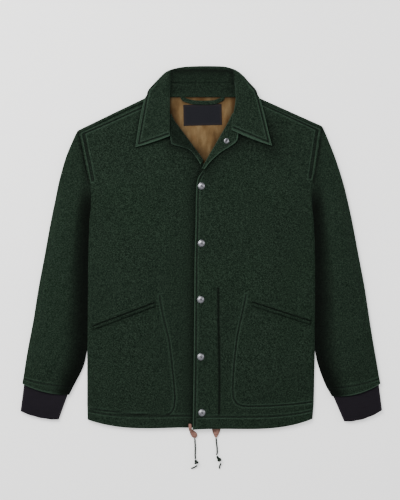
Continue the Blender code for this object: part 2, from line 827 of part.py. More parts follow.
def tab(name, table, material):
    """Leather tab at the hem, where the drawcord comes out."""
    grid = []
    for x, y, half_width, z in table:
        grid.append([at(x + half_width * side, y, z) for side in (-1, -0.6, 0, 0.6, 1)])
    return wall(name, grid[::-1], LEATHER, material)


def hanger(material):
    grid = []
    rows = between(HANGER, 9)
    for i, (x, y, z) in enumerate(rows):
        before = rows[max(i - 1, 0)]
        after = rows[min(i + 1, len(rows) - 1)]
        along = math.dist(before[:2], after[:2])
        side_x = -(after[1] - before[1]) / along
        side_y = (after[0] - before[0]) / along
        row = []
        for side in (-0.5, 0, 0.5):
            px = x + side_x * HANGER_WIDTH * side
            py = y + side_y * HANGER_WIDTH * side
            row.append(at(px, py, z + HANGER_THICKNESS / 2))
        grid.append(row[::-1])
    return wall("hanger_loop", grid, HANGER_THICKNESS, material)


def label(material):
    x, y, width, height = LABEL
    turn = math.radians(LABEL_TURN)
    z = BODY_RISE + LINING + SEAM + LABEL_THICKNESS
    grid = []
    for up in (-0.5, 0, 0.5):
        row = []
        for side in (-0.5, 0, 0.5):
            px = x + side * width * math.cos(turn) - up * height * math.sin(turn)
            py = y + side * width * math.sin(turn) + up * height * math.cos(turn)
            row.append(at(px, py, z))
        grid.append(row)
    return wall("label", grid, LABEL_THICKNESS, material)


def cord(name, route, material):
    """Free stretch of the drawcord, lying on the surface."""
    radius = CORD_DIAMETER / 2
    points = between(route, CORD_DIAMETER * 2.4)
    data = bpy.data.curves.new(name, "CURVE")
    data.dimensions = "3D"
    data.bevel_depth = radius * MM
    data.bevel_resolution = 2
    data.use_fill_caps = True
    spline = data.splines.new("POLY")
    spline.points.add(len(points) - 1)
    for slot, (x, y, lift) in zip(spline.points, points):
        slot.co = (*at(x, y, radius + max(0.05, lift)), 1.0)
    data.materials.append(material)
    item = bpy.data.objects.new(name, data)
    bpy.context.scene.collection.objects.link(item)
    return item


def knot(name, place, material):
    """Knot in the drawcord, a rounded lump with a waist."""
    x, y, half_length, half_width, turn = place
    turn = math.radians(turn)
    rings = 7
    steps = 12
    height = half_width * 0.92
    points = []
    for i in range(1, rings):
        along = -math.cos(math.pi * i / rings)
        girth = math.sin(math.pi * i / rings) ** 0.7 * (1 - 0.14 * math.exp(-(along / 0.25) ** 2))
        for k in range(steps):
            around = 2 * math.pi * k / steps
            side = half_width * girth * math.cos(around)
            up = height * girth * math.sin(around)
            px = x + along * half_length * math.cos(turn) - side * math.sin(turn)
            py = y + along * half_length * math.sin(turn) + side * math.cos(turn)
            points.append(at(px, py, height + up))
    count = rings - 1
    for along in (-1, 1):
        points.append(at(x + along * half_length * math.cos(turn), y + along * half_length * math.sin(turn), height))
    faces = []
    for k in range(steps):
        following = (k + 1) % steps
        faces.append((count * steps, following, k))
        faces.append((count * steps + 1, (count - 1) * steps + k, (count - 1) * steps + following))
        for i in range(count - 1):
            a = i * steps
            faces.append((a + k, a + following, a + steps + following, a + steps + k))
    return solid(name, points, faces, material)


def build():
    clear_scene()
    wool = finish("green_wool", (0.022, 0.055, 0.034), 0.95)
    rib = finish("dark_rib_knit", (0.030, 0.026, 0.034), 0.9)
    tan = finish("tan_lining", (0.36, 0.22, 0.10), 0.85)
    navy = finish("navy_label", (0.016, 0.018, 0.026), 0.7)
    metal = finish("pewter_snap", (0.42, 0.41, 0.42), 0.35, 1.0)
    leather = finish("brown_leather", (0.16, 0.06, 0.035), 0.55)
    braid = finish("green_drawcord", (0.025, 0.05, 0.03), 0.9)

    back_panel(wool)
    front_panel("front_right", FRONT_RIGHT, under_front_top, wool)
    front_panel("front_left", FRONT_LEFT, over_front_top, wool)
    sleeve("sleeve_right", SLEEVE_RIGHT, wool)
    sleeve("sleeve_left", SLEEVE_LEFT, wool)
    cuff("cuff_right", SLEEVE_RIGHT, CUFF_RIGHT_EDGE, rib)
    cuff("cuff_left", SLEEVE_LEFT, CUFF_LEFT_EDGE, rib)
    collar(wool)
    stand(wool)
    lapel("lapel_right", LAPEL_RIGHT, under_front_top, wool)
    lapel("lapel_left", LAPEL_LEFT, over_front_top, wool)
    lining(tan)
    label(navy)
    hanger(wool)
    welt("welt_right_upper", SLIT_RIGHT, SEAM, UPPER_WELT, under_front_top, wool)
    welt("welt_right_lower", SLIT_RIGHT, -SEAM - LOWER_WELT, LOWER_WELT, under_front_top, wool)
    welt("welt_left_upper", SLIT_LEFT, SEAM, UPPER_WELT, over_front_top, wool)
    welt("welt_left_lower", SLIT_LEFT, -SEAM - LOWER_WELT, LOWER_WELT, over_front_top, wool)
    for number, (x, y) in enumerate(SNAPS, start=1):
        snap(f"snap_{number}", x, y, rest_on(over_front_top, x, y, SNAP_DIAMETER / 2), metal)
    socket_x, socket_y = SOCKET
    lapel_top = rest_on(over_front_top, socket_x, socket_y, SOCKET_DIAMETER / 2) + LAPEL_CLEAR + FACING
    snap_socket(socket_x, socket_y, lapel_top, metal)
    tab("tab_right", TAB_RIGHT, leather)
    tab("tab_left", TAB_LEFT, leather)
    cord("cord_right", CORD_RIGHT, braid)
    cord("cord_left", CORD_LEFT, braid)
    cord("tail_right", TAIL_RIGHT, braid)
    cord("tail_left", TAIL_LEFT, braid)
    knot("knot_right", KNOT_RIGHT, braid)
    knot("knot_left", KNOT_LEFT, braid)


build()
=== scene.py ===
"""Mackinaw jacket in heathered green wool, laid flat on its back, seen from straight above.

Tables are in millimetres. x runs from the centre front towards the wearer's left,
y runs up from the hem at the centre front, and z is the height above the surface.
"""

import math

import bpy
import numpy as np
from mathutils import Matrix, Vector, noise
from mathutils.bvhtree import BVHTree


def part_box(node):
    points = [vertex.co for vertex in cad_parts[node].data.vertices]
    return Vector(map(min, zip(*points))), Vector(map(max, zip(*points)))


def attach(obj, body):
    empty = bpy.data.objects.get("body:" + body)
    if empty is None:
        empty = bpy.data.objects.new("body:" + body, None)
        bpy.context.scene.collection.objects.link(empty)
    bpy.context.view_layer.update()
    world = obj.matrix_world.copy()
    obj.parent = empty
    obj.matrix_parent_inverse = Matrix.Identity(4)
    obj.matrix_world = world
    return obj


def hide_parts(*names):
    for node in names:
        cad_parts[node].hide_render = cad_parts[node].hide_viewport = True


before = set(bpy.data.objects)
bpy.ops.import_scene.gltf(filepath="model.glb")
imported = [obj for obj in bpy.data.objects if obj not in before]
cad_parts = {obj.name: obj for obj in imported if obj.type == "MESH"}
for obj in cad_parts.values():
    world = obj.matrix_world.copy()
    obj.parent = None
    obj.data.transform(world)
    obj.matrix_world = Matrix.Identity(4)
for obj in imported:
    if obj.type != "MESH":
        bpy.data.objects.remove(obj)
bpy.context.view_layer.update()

MM = 0.001
SEAM = 0.3                # gap between two pieces that meet
WOOL = 3.6                # wool cloth with the lining it is backed by
FACING = 3.0              # wool facing at the lapels
LAPEL_CLEAR = 0.5         # from the front to the facing turned out over it
RIB_KNIT = 2.4
LINING = 1.0
LEATHER = 2.2
LOFT = 1.7                # air between a front and the back
TOP = WOOL + LOFT + WOOL  # height of a front above the surface
BODY_RISE = WOOL + SEAM   # where a piece lies on the back
FOLD_RADIUS = TOP / 2     # shoulder edge and sleeve edges

CENTRE_X = 2.75           # middle of the jacket's width, from the centre front
CENTRE_Y = 378.6          # middle of its height, above the hem

SIDE_ROUND = 9.0          # how far the side of a front rounds over
SEAM_IN_FRONT = 7.0       # shoulder seam, in front of the shoulder edge

SNAP_DIAMETER = 15.0
SNAP_HEIGHT = 3.4
SOCKET_DIAMETER = 11.0
CORD_DIAMETER = 3.6

# Fronts: each row is a section from the front edge to the side.
# front_x, front_y, side_x, side_y, rounding of the side, dip of the section
FRONT_RIGHT = (
    (30, 0, -242, 18, 1, -12),
    (30, 7, -242.3, 23, 1, -11),
    (30, 40, -243, 50, 1, -6),
    (30, 140, -243, 146, 1, 0),
    (30, 250, -242.5, 255, 1, 0),
    (30, 360, -242, 363, 1, 0),
    (30, 440, -239.5, 430, 1, 0),
    (28, 500, -238.5, 490, 1, 0),
    (22, 540, -238.5, 522, 0.8, 0),
    (7.4, 569.3, -241, 541, 0.2, 0),
    (-12, 595.7, -244.6, 559, 0, 0),
    (-36, 628.2, -249, 581, 0, 0),
    (-58, 658, -253.6, 604, 0, 0),
    (-67, 678, -257, 621, 0, 0),
    (-70.6, 717.6, -259.2, 628.7, 0, 0),
    (-71, 724, -260, 633.5, 0, 0),
)
FRONT_LEFT = (
    (-15.7, -4, 241, 19, 1, -12),
    (-15.6, 3, 241.8, 25, 1, -11),
    (-15, 40, 245, 52, 1, -6),
    (-13.5, 140, 247, 146, 1, 0),
    (-12.5, 250, 248.5, 258, 1, 0),
    (-11.5, 360, 249, 366, 1, 0),
    (-9.5, 440, 246.5, 434, 1, 0),
    (-8.5, 500, 244.5, 492, 1, 0),
    (-5.5, 534, 244, 523, 0.8, 0),
    (5.5, 553, 246.1, 543, 0.2, 0),
    (15, 569.5, 248.6, 560, 0, 0),
    (29.2, 594, 251.5, 580, 0, 0),
    (44.2, 620, 254.3, 598, 0, 0),
    (60.2, 648, 257, 617, 0, 0),
    (76, 680, 259.2, 631, 0, 0),
    (82.6, 716, 260.2, 637.6, 0, 0),
    (83, 722, 260.7, 642.6, 0, 0),
)

# Back: x, hem height, top height, how far the top rolls over the shoulder
BACK = (
    (-261.5, 18, 641, 1),
    (-256, 17, 643.6, 1),
    (-225, 9, 658.5, 1),
    (-185, 3.5, 678, 1),
    (-145, 1.5, 697, 1),
    (-118, 1, 710, 1),
    (-82, 0.5, 724, 0),
    (-66, 0.5, 717.5, 0),
    (-35, 0, 715.4, 0),
    (5, 0, 714.8, 0),
    (45, 0, 715.6, 0),
    (78, 0.5, 718.5, 0),
    (92, 1, 723.6, 0),
    (127, 1, 710.4, 1),
    (165, 2, 693.4, 1),
    (198, 6, 678.6, 1),
    (232, 12, 663.4, 1),
    (256, 17, 652.7, 1),
    (262, 19, 650, 1),
)
# Side of the back: height, x on the wearer's right, x on the wearer's left
BACK_SIDES = (
    (0, -241.8, 240.6),
    (50, -243, 245),
    (146, -243, 247),
    (258, -242.5, 248.5),
    (363, -242, 249),
    (432, -239.5, 246.5),
    (490, -238.5, 244.5),
    (529, -238.5, 244),
    (641, -261.2, 260.7),
    (650, -261.5, 262),
    (800, -262, 262),
)

# Sleeves: each row is a section from the outer fold to the underarm
# outer_x, outer_y, inner_x, inner_y, height, dip of the section
SLEEVE_RIGHT = (
    (-262.6, 640.6, -240, 528.4, 8.9, 0),
    (-268.5, 630.5, -240.4, 522, 9.1, 0),
    (-288, 585, -241.2, 497, 10.2, 0),
    (-303, 533, -242, 465, 10.6, 0),
    (-312, 490, -243, 430, 10.6, 0),
    (-322.5, 439, -244.2, 385, 10.6, 0),
    (-335, 370, -244.6, 325, 10.6, 0),
    (-348, 301, -244.8, 262, 10.4, 0),
    (-359, 232, -245, 200, 10.2, 0),
    (-368, 185, -245.2, 158, 10, 0),
    (-375, 145, -252, 129, 10, -1),
    (-380, 112, -269, 95, 9.8, -3),
    (-382.4, 99, -279.5, 75, 9.5, -6),
    (-383, 95, -281, 71, 9.4, -6.5),
)
SLEEVE_LEFT = (
    (262.9, 649.6, 245.1, 528.4, 8.9, 0),
    (269.5, 635.5, 245.5, 522, 9.1, 0),
    (290, 585, 246.8, 497, 10.2, 0),
    (307, 533, 248.2, 465, 10.6, 0),
    (318, 490, 249.6, 430, 10.6, 0),
    (329, 439, 251, 385, 10.6, 0),
    (342, 370, 251.2, 325, 10.6, 0),
    (355, 301, 251, 262, 10.4, 0),
    (365.5, 232, 250, 200, 10.2, 0),
    (373, 185, 249.4, 158, 10, 0),
    (380, 145, 256, 129, 10, -1),
    (385.6, 112, 270, 92, 9.8, -4),
    (388.2, 99, 281.5, 72, 9.5, -8.5),
    (389, 95, 283, 68, 9.4, -9),
)
# Cuff's free edge: outer_x, outer_y, inner_x, inner_y, dip
CUFF_RIGHT_EDGE = (-386.5, 36, -304, 18, -5)
CUFF_LEFT_EDGE = (392, 38, 310, 14, -7)
CUFF_HEIGHT = 7.4
CUFF_INSET = 4.0          # the cuff is narrower than the sleeve hem at each end
CUFF_RIBS = 20            # on the upper face
RIB_HEIGHT = 0.55

# Collar leaf on a front: where it rolls, its outer edge, heights of foot, crest and edge
# roll_x, roll_y, edge_x, edge_y, foot_z, crest_z, edge_z
LEAF_RIGHT = (
    (-64, 628, -139, 603.5, 14.8, 16.7, 13.2),
    (-64.2, 634, -137.8, 611, 14.8, 16.8, 13.2),
    (-64.5, 652, -134, 637, 14.8, 17, 13),
    (-64.5, 674, -129, 668, 14.6, 17, 12.9),
    (-64.5, 696, -124, 691, 12, 17, 12.8),
    (-64.5, 711, -119.5, 708.5, 10, 17, 12.6),
)
LEAF_LEFT = (
    (77, 711, 129.5, 708.5, 10, 17, 12.6),
    (75.5, 697, 134.5, 690, 12, 17, 12.8),
    (72, 678, 140, 668, 14.6, 17, 12.9),
    (68.5, 660, 146, 641, 14.8, 17, 13),
    (67.4, 646, 153, 613.5, 14.8, 16.8, 13.2),
    (67, 641, 155, 607, 14.8, 16.7, 13.2),
)
# Collar turning over the shoulder: foot, roll, outline, edge of the fall underneath, crest height
# foot_x, foot_y, roll_x, roll_y, out_x, out_y, under_x, under_y, crest_z, share turned under
TURN_RIGHT = (
    (-64, 723, -64.6, 720, -115.5, 720.5, -111, 721.5, 17, 0.5),
    (-63.6, 735, -64.8, 730, -109.5, 731, -103, 727, 17, 1),
    (-61.4, 743.2, -64.8, 743, -98, 743, -86, 736, 16.6, 1),
    (-57, 743.2, -64.5, 758, -84, 758, -71, 735, 16, 1),
    (-50, 743.2, -60.5, 770.5, -71, 770, -61, 733, 13.8, 1),
)
TURN_LEFT = (
    (62, 743.2, 66, 769, 78, 771.5, 70, 734, 13.8, 1),
    (69, 743.2, 71, 758, 94, 759, 80, 736, 16, 1),
    (73.6, 743.2, 75, 743, 107, 743, 96, 736, 16.6, 1),
    (76, 735, 76.8, 730, 119, 731, 113, 727, 17, 1),
    (76.6, 723, 77, 720, 125, 720.5, 120.5, 721.5, 17, 0.5),
)
# Collar behind the neck: x, height of the roll, height of the fall's edge underneath
COLLAR_BACK = (
    (-38, 777.8, 722),
    (-14, 779, 720),
    (14, 779.6, 720),
    (40, 779.2, 720),
    (55, 778.4, 724),
)
LEAF_EDGE = 12.6          # height of the leaf's outer edge at the shoulder
COLLAR_CORNER = 0.55      # wall left where the collar turns its corners
COLLAR_PRESSED = (0.7, 0.7, 0.75, 0.9, 1, 0.9, 0.7, 0.4)  # wall left, from the outer edge to the foot
STAND_SEAM = 743.2        # the collar's edge at its seam with the stand
STAND_INSIDE = 9.6        # height of that seam
BACK_ROLL = 10.3          # height of the collar behind the neck

# Stand: height, x on the right, x on the left, z
STAND = (
    (712, -62.2, 75.4, 7.5),
    (715, -62.2, 75.3, 7.7),
    (727, -61.8, 74.8, 8.6),
    (739.5, -60.5, 72.5, 9.3),
    (742.7, -59.8, 72, 9.5),
)
# Lining where the neck shows it: height, x on the right, x on the left
LINING_ROWS = (
    (711.5, -68, 82),
    (706, -69, 82),
    (671, -68, 78),
    (640, -47, 58),
    (604, -20, 36),
    (580, -3, 24),
    (566, 4, 18),
)
# Lapels: points on the roll line and on the free edge
# roll_x, roll_y, edge_x, edge_y
LAPEL_RIGHT = (
    (7.5, 576.5, 1.5, 566),
    (0, 587, -7, 580),
    (-14, 606, -22, 597),
    (-30, 627.6, -41, 604.5),
    (-44, 646.6, -61, 611),
    (-55, 661.5, -65, 634),
    (-62, 676, -75, 660),
)
LAPEL_LEFT = (
    (3.6, 557.5, 9.5, 555.5),
    (11, 572, 22, 572),
    (26, 598, 44, 592),
    (41, 624, 64, 604.5),
    (52, 643, 80, 618),
    (62, 661, 83, 640),
    (70.5, 678, 88, 664),
)
LABEL = (5.6, 673.5, 82, 45)      # x, y, width, height
LABEL_TURN = 1.5                  # degrees
LABEL_THICKNESS = 0.6

# Hanger loop: x, y, z of its middle
HANGER = (
    (-36, 708.6, 6.2),
    (-27, 704.5, 6.6),
    (-15, 701.6, 7.2),
    (8, 700.6, 7.6),
    (30, 701.6, 7.2),
    (40, 705, 6.6),
    (47.5, 708.6, 6.2),
)
HANGER_THICKNESS = 1.4

# Pocket slits: inner end x, y and outer end x, y
SLIT_RIGHT = (-100, 268.5, -229, 219.5)
SLIT_LEFT = (113, 270.5, 238, 230)
UPPER_WELT = 8.4
LOWER_WELT = 6.6
WELT_THICKNESS = 2.2

SNAPS = ((3, 520), (3, 397), (1.5, 276), (1.5, 153), (4, 33))
SOCKET = (57, 617)

# Leather tabs: x, y, half width, height of the upper face
TAB_RIGHT = (
    (-21.6, 9, 2.6, 10.2),
    (-21.4, 5, 3.4, 10.2),
    (-21.2, -0.6, 3.5, 10.2),
    (-20.4, -4.4, 3.7, 8.2),
    (-18.4, -7, 5, 4.2),
    (-15.4, -9.8, 6.8, 2.8),
    (-13.6, -13.4, 7.6, 2.6),
    (-12.4, -17.4, 6.9, 2.6),
    (-11.8, -20.6, 4.8, 2.6),
    (-11.5, -22.4, 2.2, 2.6),
)
TAB_LEFT = (
    (35, -0.9, 9.4, 2.6),
    (35, -4, 9.2, 2.6),
    (34.8, -9, 8, 2.6),
    (34.6, -14, 6, 2.6),
    (34.5, -18.5, 3.8, 2.6),
    (34.5, -21.4, 1.8, 2.6),
)

# Drawcord: points of each stretch that lies free, with its lift off the surface, and its knots
CORD_RIGHT = (
    (-11.3, -22.8, 0),
    (-10.6, -34, 0),
    (-10.2, -46, 0),
    (-10.4, -58, 0.2),
    (-10.2, -68.2, 2.4),
)
TAIL_RIGHT = ((-6.2, -80.9, 2), (-9, -83.4, 0.8), (-14, -86.4, 0), (-19.4, -88, 0))
KNOT_RIGHT = (-8.2, -74, 5.6, 4.6, -70)   # x, y, half length, half width, turn in degrees
CORD_LEFT = (
    (34.5, -21.8, 0),
    (35.4, -32, 0),
    (36.6, -43, 0),
    (37, -52.6, 0.3),
    (35.8, -59.2, 2),
)
TAIL_LEFT = ((45.3, -76.1, 1.6), (43.6, -80, 0.6), (42.2, -84, 0), (42, -89, 0))
KNOT_LEFT = (40.4, -67.4, 8.2, 4.2, -56)

# Largest folds in the fronts: x, y, direction in degrees, half length, half width, height
FRONT_FOLDS = (
    (-205, 430, 78, 120, 16, 1.3),
    (-150, 90, 96, 90, 20, 1.0),
    (-60, 420, 96, 130, 22, 0.9),
    (150, 400, 96, 130, 20, 1.0),
    (214, 440, 100, 110, 16, 1.3),
    (60, 150, 86, 90, 22, 0.9),
)
SLEEVE_FOLDS = (
    (-300, 400, 62, 70, 12, 1.4),
    (-330, 300, 40, 42, 11, 1.3),
    (-300, 215, 65, 60, 12, 1.2),
    (-345, 150, 30, 32, 10, 1.2),
    (305, 400, 118, 70, 12, 1.4),
    (335, 300, 140, 42, 11, 1.3),
    (305, 215, 115, 60, 12, 1.2),
    (350, 150, 150, 32, 10, 1.2),
)


def mix(a, b, t):
    return a + (b - a) * t


def ease(low, high, value):
    """0 below low, 1 above high, smooth between."""
    t = np.clip((value - low) / (high - low), 0.0, 1.0)
    return t * t * (3.0 - 2.0 * t)


def place(points):
    """Table points as points of the frame, in metres."""
    points = np.asarray(points, dtype=float)
    return (points - (CENTRE_X, CENTRE_Y, 0.0)) * MM


def catmull(p0, p1, p2, p3, t):
    """Smooth value between p1 and p2."""
    return 0.5 * (2 * p1 + (p2 - p0) * t + (2 * p0 - 5 * p1 + 4 * p2 - p3) * t * t
                  + (3 * p1 - p0 - 3 * p2 + p3) * t * t * t)


def between(rows, spacing, smooth=True):
    """Every row of a table with smooth rows between them, at most spacing apart."""
    rows = np.asarray(rows, dtype=float)
    out = []
    last = len(rows) - 1
    for i in range(last):
        apart = np.linalg.norm(rows[i + 1][:2] - rows[i][:2])
        steps = max(1, math.ceil(apart / spacing))
        for k in range(steps):
            if smooth:
                before = rows[max(i - 1, 0)]
                after = rows[min(i + 2, last)]
                out.append(catmull(before, rows[i], rows[i + 1], after, k / steps))
            else:
                out.append(mix(rows[i], rows[i + 1], k / steps))
    out.append(rows[-1])
    return np.array(out)


def folds(table, x, y):
    """Height of soft ridges and troughs at points."""
    rise = np.zeros(np.broadcast(x, y).shape)
    for fold_x, fold_y, direction, half_length, half_width, height in table:
        turn = math.radians(direction)
        along = ((x - fold_x) * math.cos(turn) + (y - fold_y) * math.sin(turn)) / half_length
        across = ((y - fold_y) * math.cos(turn) - (x - fold_x) * math.sin(turn)) / half_width
        rise += height * np.exp(-across * across) * np.clip(1 - along * along, 0, 1) ** 2
    return rise


def away(line, x, y):
    """Distance of points from a line of points."""
    best = np.full(np.broadcast(x, y).shape, 1e9)
    for (ax, ay), (bx, by) in zip(line, line[1:]):
        dx = bx - ax
        dy = by - ay
        t = np.clip(((x - ax) * dx + (y - ay) * dy) / (dx * dx + dy * dy), 0, 1)
        best = np.minimum(best, np.hypot(x - ax - t * dx, y - ay - t * dy))
    return best


def unevenness(x, y, size, seed):
    """Gentle natural waviness of laid cloth, from -1 to 1."""
    x, y = np.broadcast_arrays(x, y)
    flat = [noise.noise(Vector((a / size, b / size, seed))) for a, b in zip(x.ravel(), y.ravel())]
    return np.array(flat).reshape(x.shape)


# Creases pressed or worn into the cloth beside the large folds of the solids:
# x, y, direction in degrees, half length, half width, height
FRONT_CREASES = (
    (-170, 560, 60, 60, 12, -0.9),
    (-190, 330, 80, 90, 13, -1.0),
    (-112, 470, 98, 80, 12, 0.8),
    (-96, 180, 84, 70, 10, 0.9),
    (-176, 150, 102, 66, 11, -0.9),
    (-226, 250, 92, 70, 7, 1.0),
    (-40, 250, 92, 120, 9, -1.0),
    (-44, 110, 88, 60, 8, 0.7),
    (186, 555, 118, 60, 12, -0.9),
    (178, 330, 99, 90, 12, -0.9),
    (110, 450, 84, 90, 12, 0.8),
    (104, 180, 97, 70, 10, 0.9),
    (180, 150, 80, 66, 11, -0.8),
    (228, 300, 88, 60, 7, 0.9),
    (46, 120, 91, 110, 7, -1.2),
    (60, 330, 93, 90, 9, 0.8),
    (34, 200, 88, 90, 6, 0.5),
)
SLEEVE_CREASES = (
    (-286, 470, 72, 66, 9, -1.3),
    (-322, 372, 48, 44, 8, -1.2),
    (-284, 330, 70, 54, 9, 1.5),
    (-344, 258, 30, 36, 8, -1.3),
    (-300, 250, 55, 46, 8, -1.2),
    (-352, 198, 38, 40, 7, 1.1),
    (-318, 166, 58, 42, 8, -1.0),
    (-330, 120, 64, 30, 7, 0.8),
    (-276, 560, 78, 60, 10, 1.2),
    (290, 470, 108, 66, 9, -1.3),
    (326, 372, 132, 44, 8, -1.2),
    (288, 322, 110, 54, 9, 1.5),
    (350, 262, 150, 36, 8, -1.3),
    (304, 246, 125, 46, 8, -1.2),
    (358, 202, 142, 40, 7, 1.1),
    (322, 160, 122, 42, 8, -1.0),
    (336, 118, 116, 30, 7, 0.8),
    (280, 560, 102, 60, 10, 1.2),
)
BACK_CREASES = (
    (-150, 520, 70, 90, 12, 0.9),
    (-60, 430, 84, 130, 14, 0.8),
    (40, 500, 96, 120, 13, 0.9),
    (150, 470, 106, 110, 12, 0.8),
    (-190, 240, 82, 90, 11, 0.9),
    (-96, 160, 94, 80, 10, 0.7),
    (20, 230, 88, 120, 12, 0.8),
    (120, 190, 98, 90, 11, 0.9),
    (205, 280, 100, 80, 10, 0.7),
)
SEAM_RIDGE = 3.0          # painted highlight beside a row of sewing, this far from it, where the cloth stands up
BODY_LOFT = 3.2           # how far the fronts stand fuller than the solids, at most
SLEEVE_LOFT = 8.0
HANGER_SEEN = 9.0         # the loop's width, with its nap
STAND_TUCK = 3.0          # the stand's ends run under the collar
ARMHOLE_TUCK = 2.8        # the sleeve is caught under the fronts' edges
SLEEVE_SINK = 4.4         # the sleeve lies lower along the body


def under_front_top(x, y):
    """Height of the wearer's right front, lower where the other front laps over it."""
    lapped = ease(-64, -22, x) * (1 - ease(518, 552, y))
    return TOP - 1.4 * lapped + folds(FRONT_FOLDS, x, y) * (1 - ease(-60, -30, x))


def over_front_top(x, y):
    """Height of the wearer's left front, raised where it laps over the other."""
    carried = under_front_top(30.0, np.minimum(y, 552)) + SEAM + WOOL - TOP
    lap = (1 - ease(34, 96, x)) * (1 - ease(572, 612, y))
    return TOP + carried * lap + folds(FRONT_FOLDS, x, y) * ease(30, 60, x)


def fullness(x, y):
    """What the cloth adds to the fronts: soft loft, creases and waviness."""
    side = np.abs(x)
    clear = 1 - ease(500, 575, y)
    loft = ease(28, 120, side) * (1 - ease(150, 243, side)) * ease(0, 90, y) * clear
    worn = folds(FRONT_CREASES, x, y) * clear
    wave = 0.5 * unevenness(x, y, 70, 3.0) + 0.22 * unevenness(x, y, 24, 9.0)
    off_placket = ease(-20, 26, side - 14)
    return BODY_LOFT * loft + worn * ease(10, 40, side) + wave * clear * off_placket


def right_front_face(x, y):
    return under_front_top(x, y) + fullness(x, y) * (1 - ease(-46, -20, x))


def left_front_face(x, y):
    return over_front_top(x, y) + fullness(x, y)


def facing_out(grid, ring=False):
    """Unit normals of a grid of points."""
    along = np.gradient(grid, axis=0)
    if ring:
        across = np.roll(grid, -1, axis=1) - np.roll(grid, 1, axis=1)
    else:
        across = np.gradient(grid, axis=1)
    out = np.cross(across, along)
    return out / np.maximum(np.linalg.norm(out, axis=2, keepdims=True), 1e-9)


def rim_rows(grid, inset, ring=False):
    """Adds a row close to each edge of a grid, so that the edge rounds over tightly."""
    for axis in (0,) if ring else (0, 1):
        rows = np.moveaxis(grid, axis, 0)
        first = np.linalg.norm(rows[1] - rows[0], axis=-1).mean()
        last = np.linalg.norm(rows[-1] - rows[-2], axis=-1).mean()
        near = mix(rows[0], rows[1], min(0.5, inset / first))
        far = mix(rows[-1], rows[-2], min(0.5, inset / last))
        rows = np.concatenate([rows[:1], near[None], rows[1:-1], far[None], rows[-1:]])
        grid = np.moveaxis(rows, 0, axis)
    return grid


def corner_cut(grid, times, axis):
    """Rounds the rows of a grid by cutting its corners, with both ends kept."""
    rows = np.moveaxis(grid, axis, 0)
    for _ in range(times):
        out = [rows[0]]
        for a, b in zip(rows, rows[1:]):
            out.append(mix(a, b, 0.25))
            out.append(mix(a, b, 0.75))
        out.append(rows[-1])
        rows = np.array(out)
    return np.moveaxis(rows, 0, axis)


def mesh_piece(name, points, faces, finish):
    """One piece from points in metres, without the points that no face uses."""
    faces = np.asarray(faces)
    used, faces = np.unique(faces, return_inverse=True)
    mesh = bpy.data.meshes.new(name)
    mesh.from_pydata(np.asarray(points)[used].tolist(), [], faces.reshape(-1, 4).tolist())
    mesh.materials.append(finish)
    mesh.shade_smooth()
    piece = bpy.data.objects.new(name, mesh)
    bpy.context.scene.collection.objects.link(piece)
    return piece, used


def finer(piece, levels=1):
    """Rounds a piece by subdivision, applied to its mesh."""
    piece.modifiers.new("rounding", "SUBSURF").levels = levels
    seen = piece.evaluated_get(bpy.context.evaluated_depsgraph_get())
    mesh = bpy.data.meshes.new_from_object(seen)
    piece.modifiers.clear()
    piece.data = mesh
    mesh.shade_smooth()


def wall(name, outer, thickness, finish, floor=0.0, ring=False, lip=0, marks=None, levels=1, inset=1.1):
    """Cloth wall behind its outer face, with rounded edges.

    With a lip, the hidden inner face is only as many faces wide as the lip says.
    """
    thick = np.broadcast_to(np.asarray(thickness, dtype=float), outer.shape[:2])
    names = list(marks or {})
    packed = np.dstack([outer, thick] + [marks[key] for key in names])
    packed = rim_rows(packed, inset, ring)
    if ring:
        from_middle = packed[..., :3] - packed[..., :3].mean(axis=1, keepdims=True)
        if (facing_out(packed[..., :3], ring) * from_middle).sum() < 0:
            packed = packed[:, ::-1]
    outer = packed[..., :3]
    inner = outer - facing_out(outer, ring) * packed[..., 3:4]
    inner[..., 2] = np.maximum(inner[..., 2], floor)
    rows, columns = outer.shape[:2]
    index = np.arange(rows * columns).reshape(rows, columns)
    if ring:
        index = np.hstack([index, index[:, :1]])
    a, b = index[:-1, :-1], index[:-1, 1:]
    c, d = index[1:, 1:], index[1:, :-1]
    front = np.stack([a, b, c, d], axis=-1)
    behind = np.stack([d, c, b, a], axis=-1) + rows * columns
    if lip:
        keep = np.ones(behind.shape[:2], dtype=bool)
        keep[lip:-lip, :] = False
        if not ring:
            keep[:, :lip] = True
            keep[:, -lip:] = True
        behind = behind[keep]
    faces = [front.reshape(-1, 4), behind.reshape(-1, 4)]
    if ring:
        rims = [index[0], index[-1][::-1]]
    else:
        rims = [np.concatenate([index[0], index[1:, -1], index[-1, -2::-1], index[-2::-1, 0]])]
    for rim in rims:
        count = rows * columns
        faces.append(np.stack([rim[1:], rim[:-1], rim[:-1] + count, rim[1:] + count], axis=-1))
    points = place(np.concatenate([outer.reshape(-1, 3), inner.reshape(-1, 3)]))
    piece, used = mesh_piece(name, points, np.concatenate(faces), finish)
    for k, key in enumerate(names):
        values = np.tile(packed[..., 4 + k].ravel(), 2)[used]
        piece.data.attributes.new(key, "FLOAT", "POINT").data.foreach_set("value", values)
    if levels:
        finer(piece, levels)
    return piece


def table_points(piece):
    """Points of a piece in the tables' millimetres, and their normals."""
    mesh = piece.data
    flat = np.empty(len(mesh.vertices) * 3)
    mesh.vertices.foreach_get("co", flat)
    points = flat.reshape(-1, 3) / MM + (CENTRE_X, CENTRE_Y, 0.0)
    mesh.vertex_normals.foreach_get("vector", flat)
    return points, flat.reshape(-1, 3).copy()


def measure(piece, key):
    """Values of a piece's mark, one for each point."""
    mark = piece.data.attributes.get(key)
    values = np.zeros(len(piece.data.vertices))
    if mark:
        mark.data.foreach_get("value", values)
    return values


def mark(piece, key, values):
    """Stores one value for each point, for the finish to use."""
    kept = piece.data.attributes.get(key) or piece.data.attributes.new(key, "FLOAT", "POINT")
    kept.data.foreach_set("value", np.asarray(values, dtype=float))


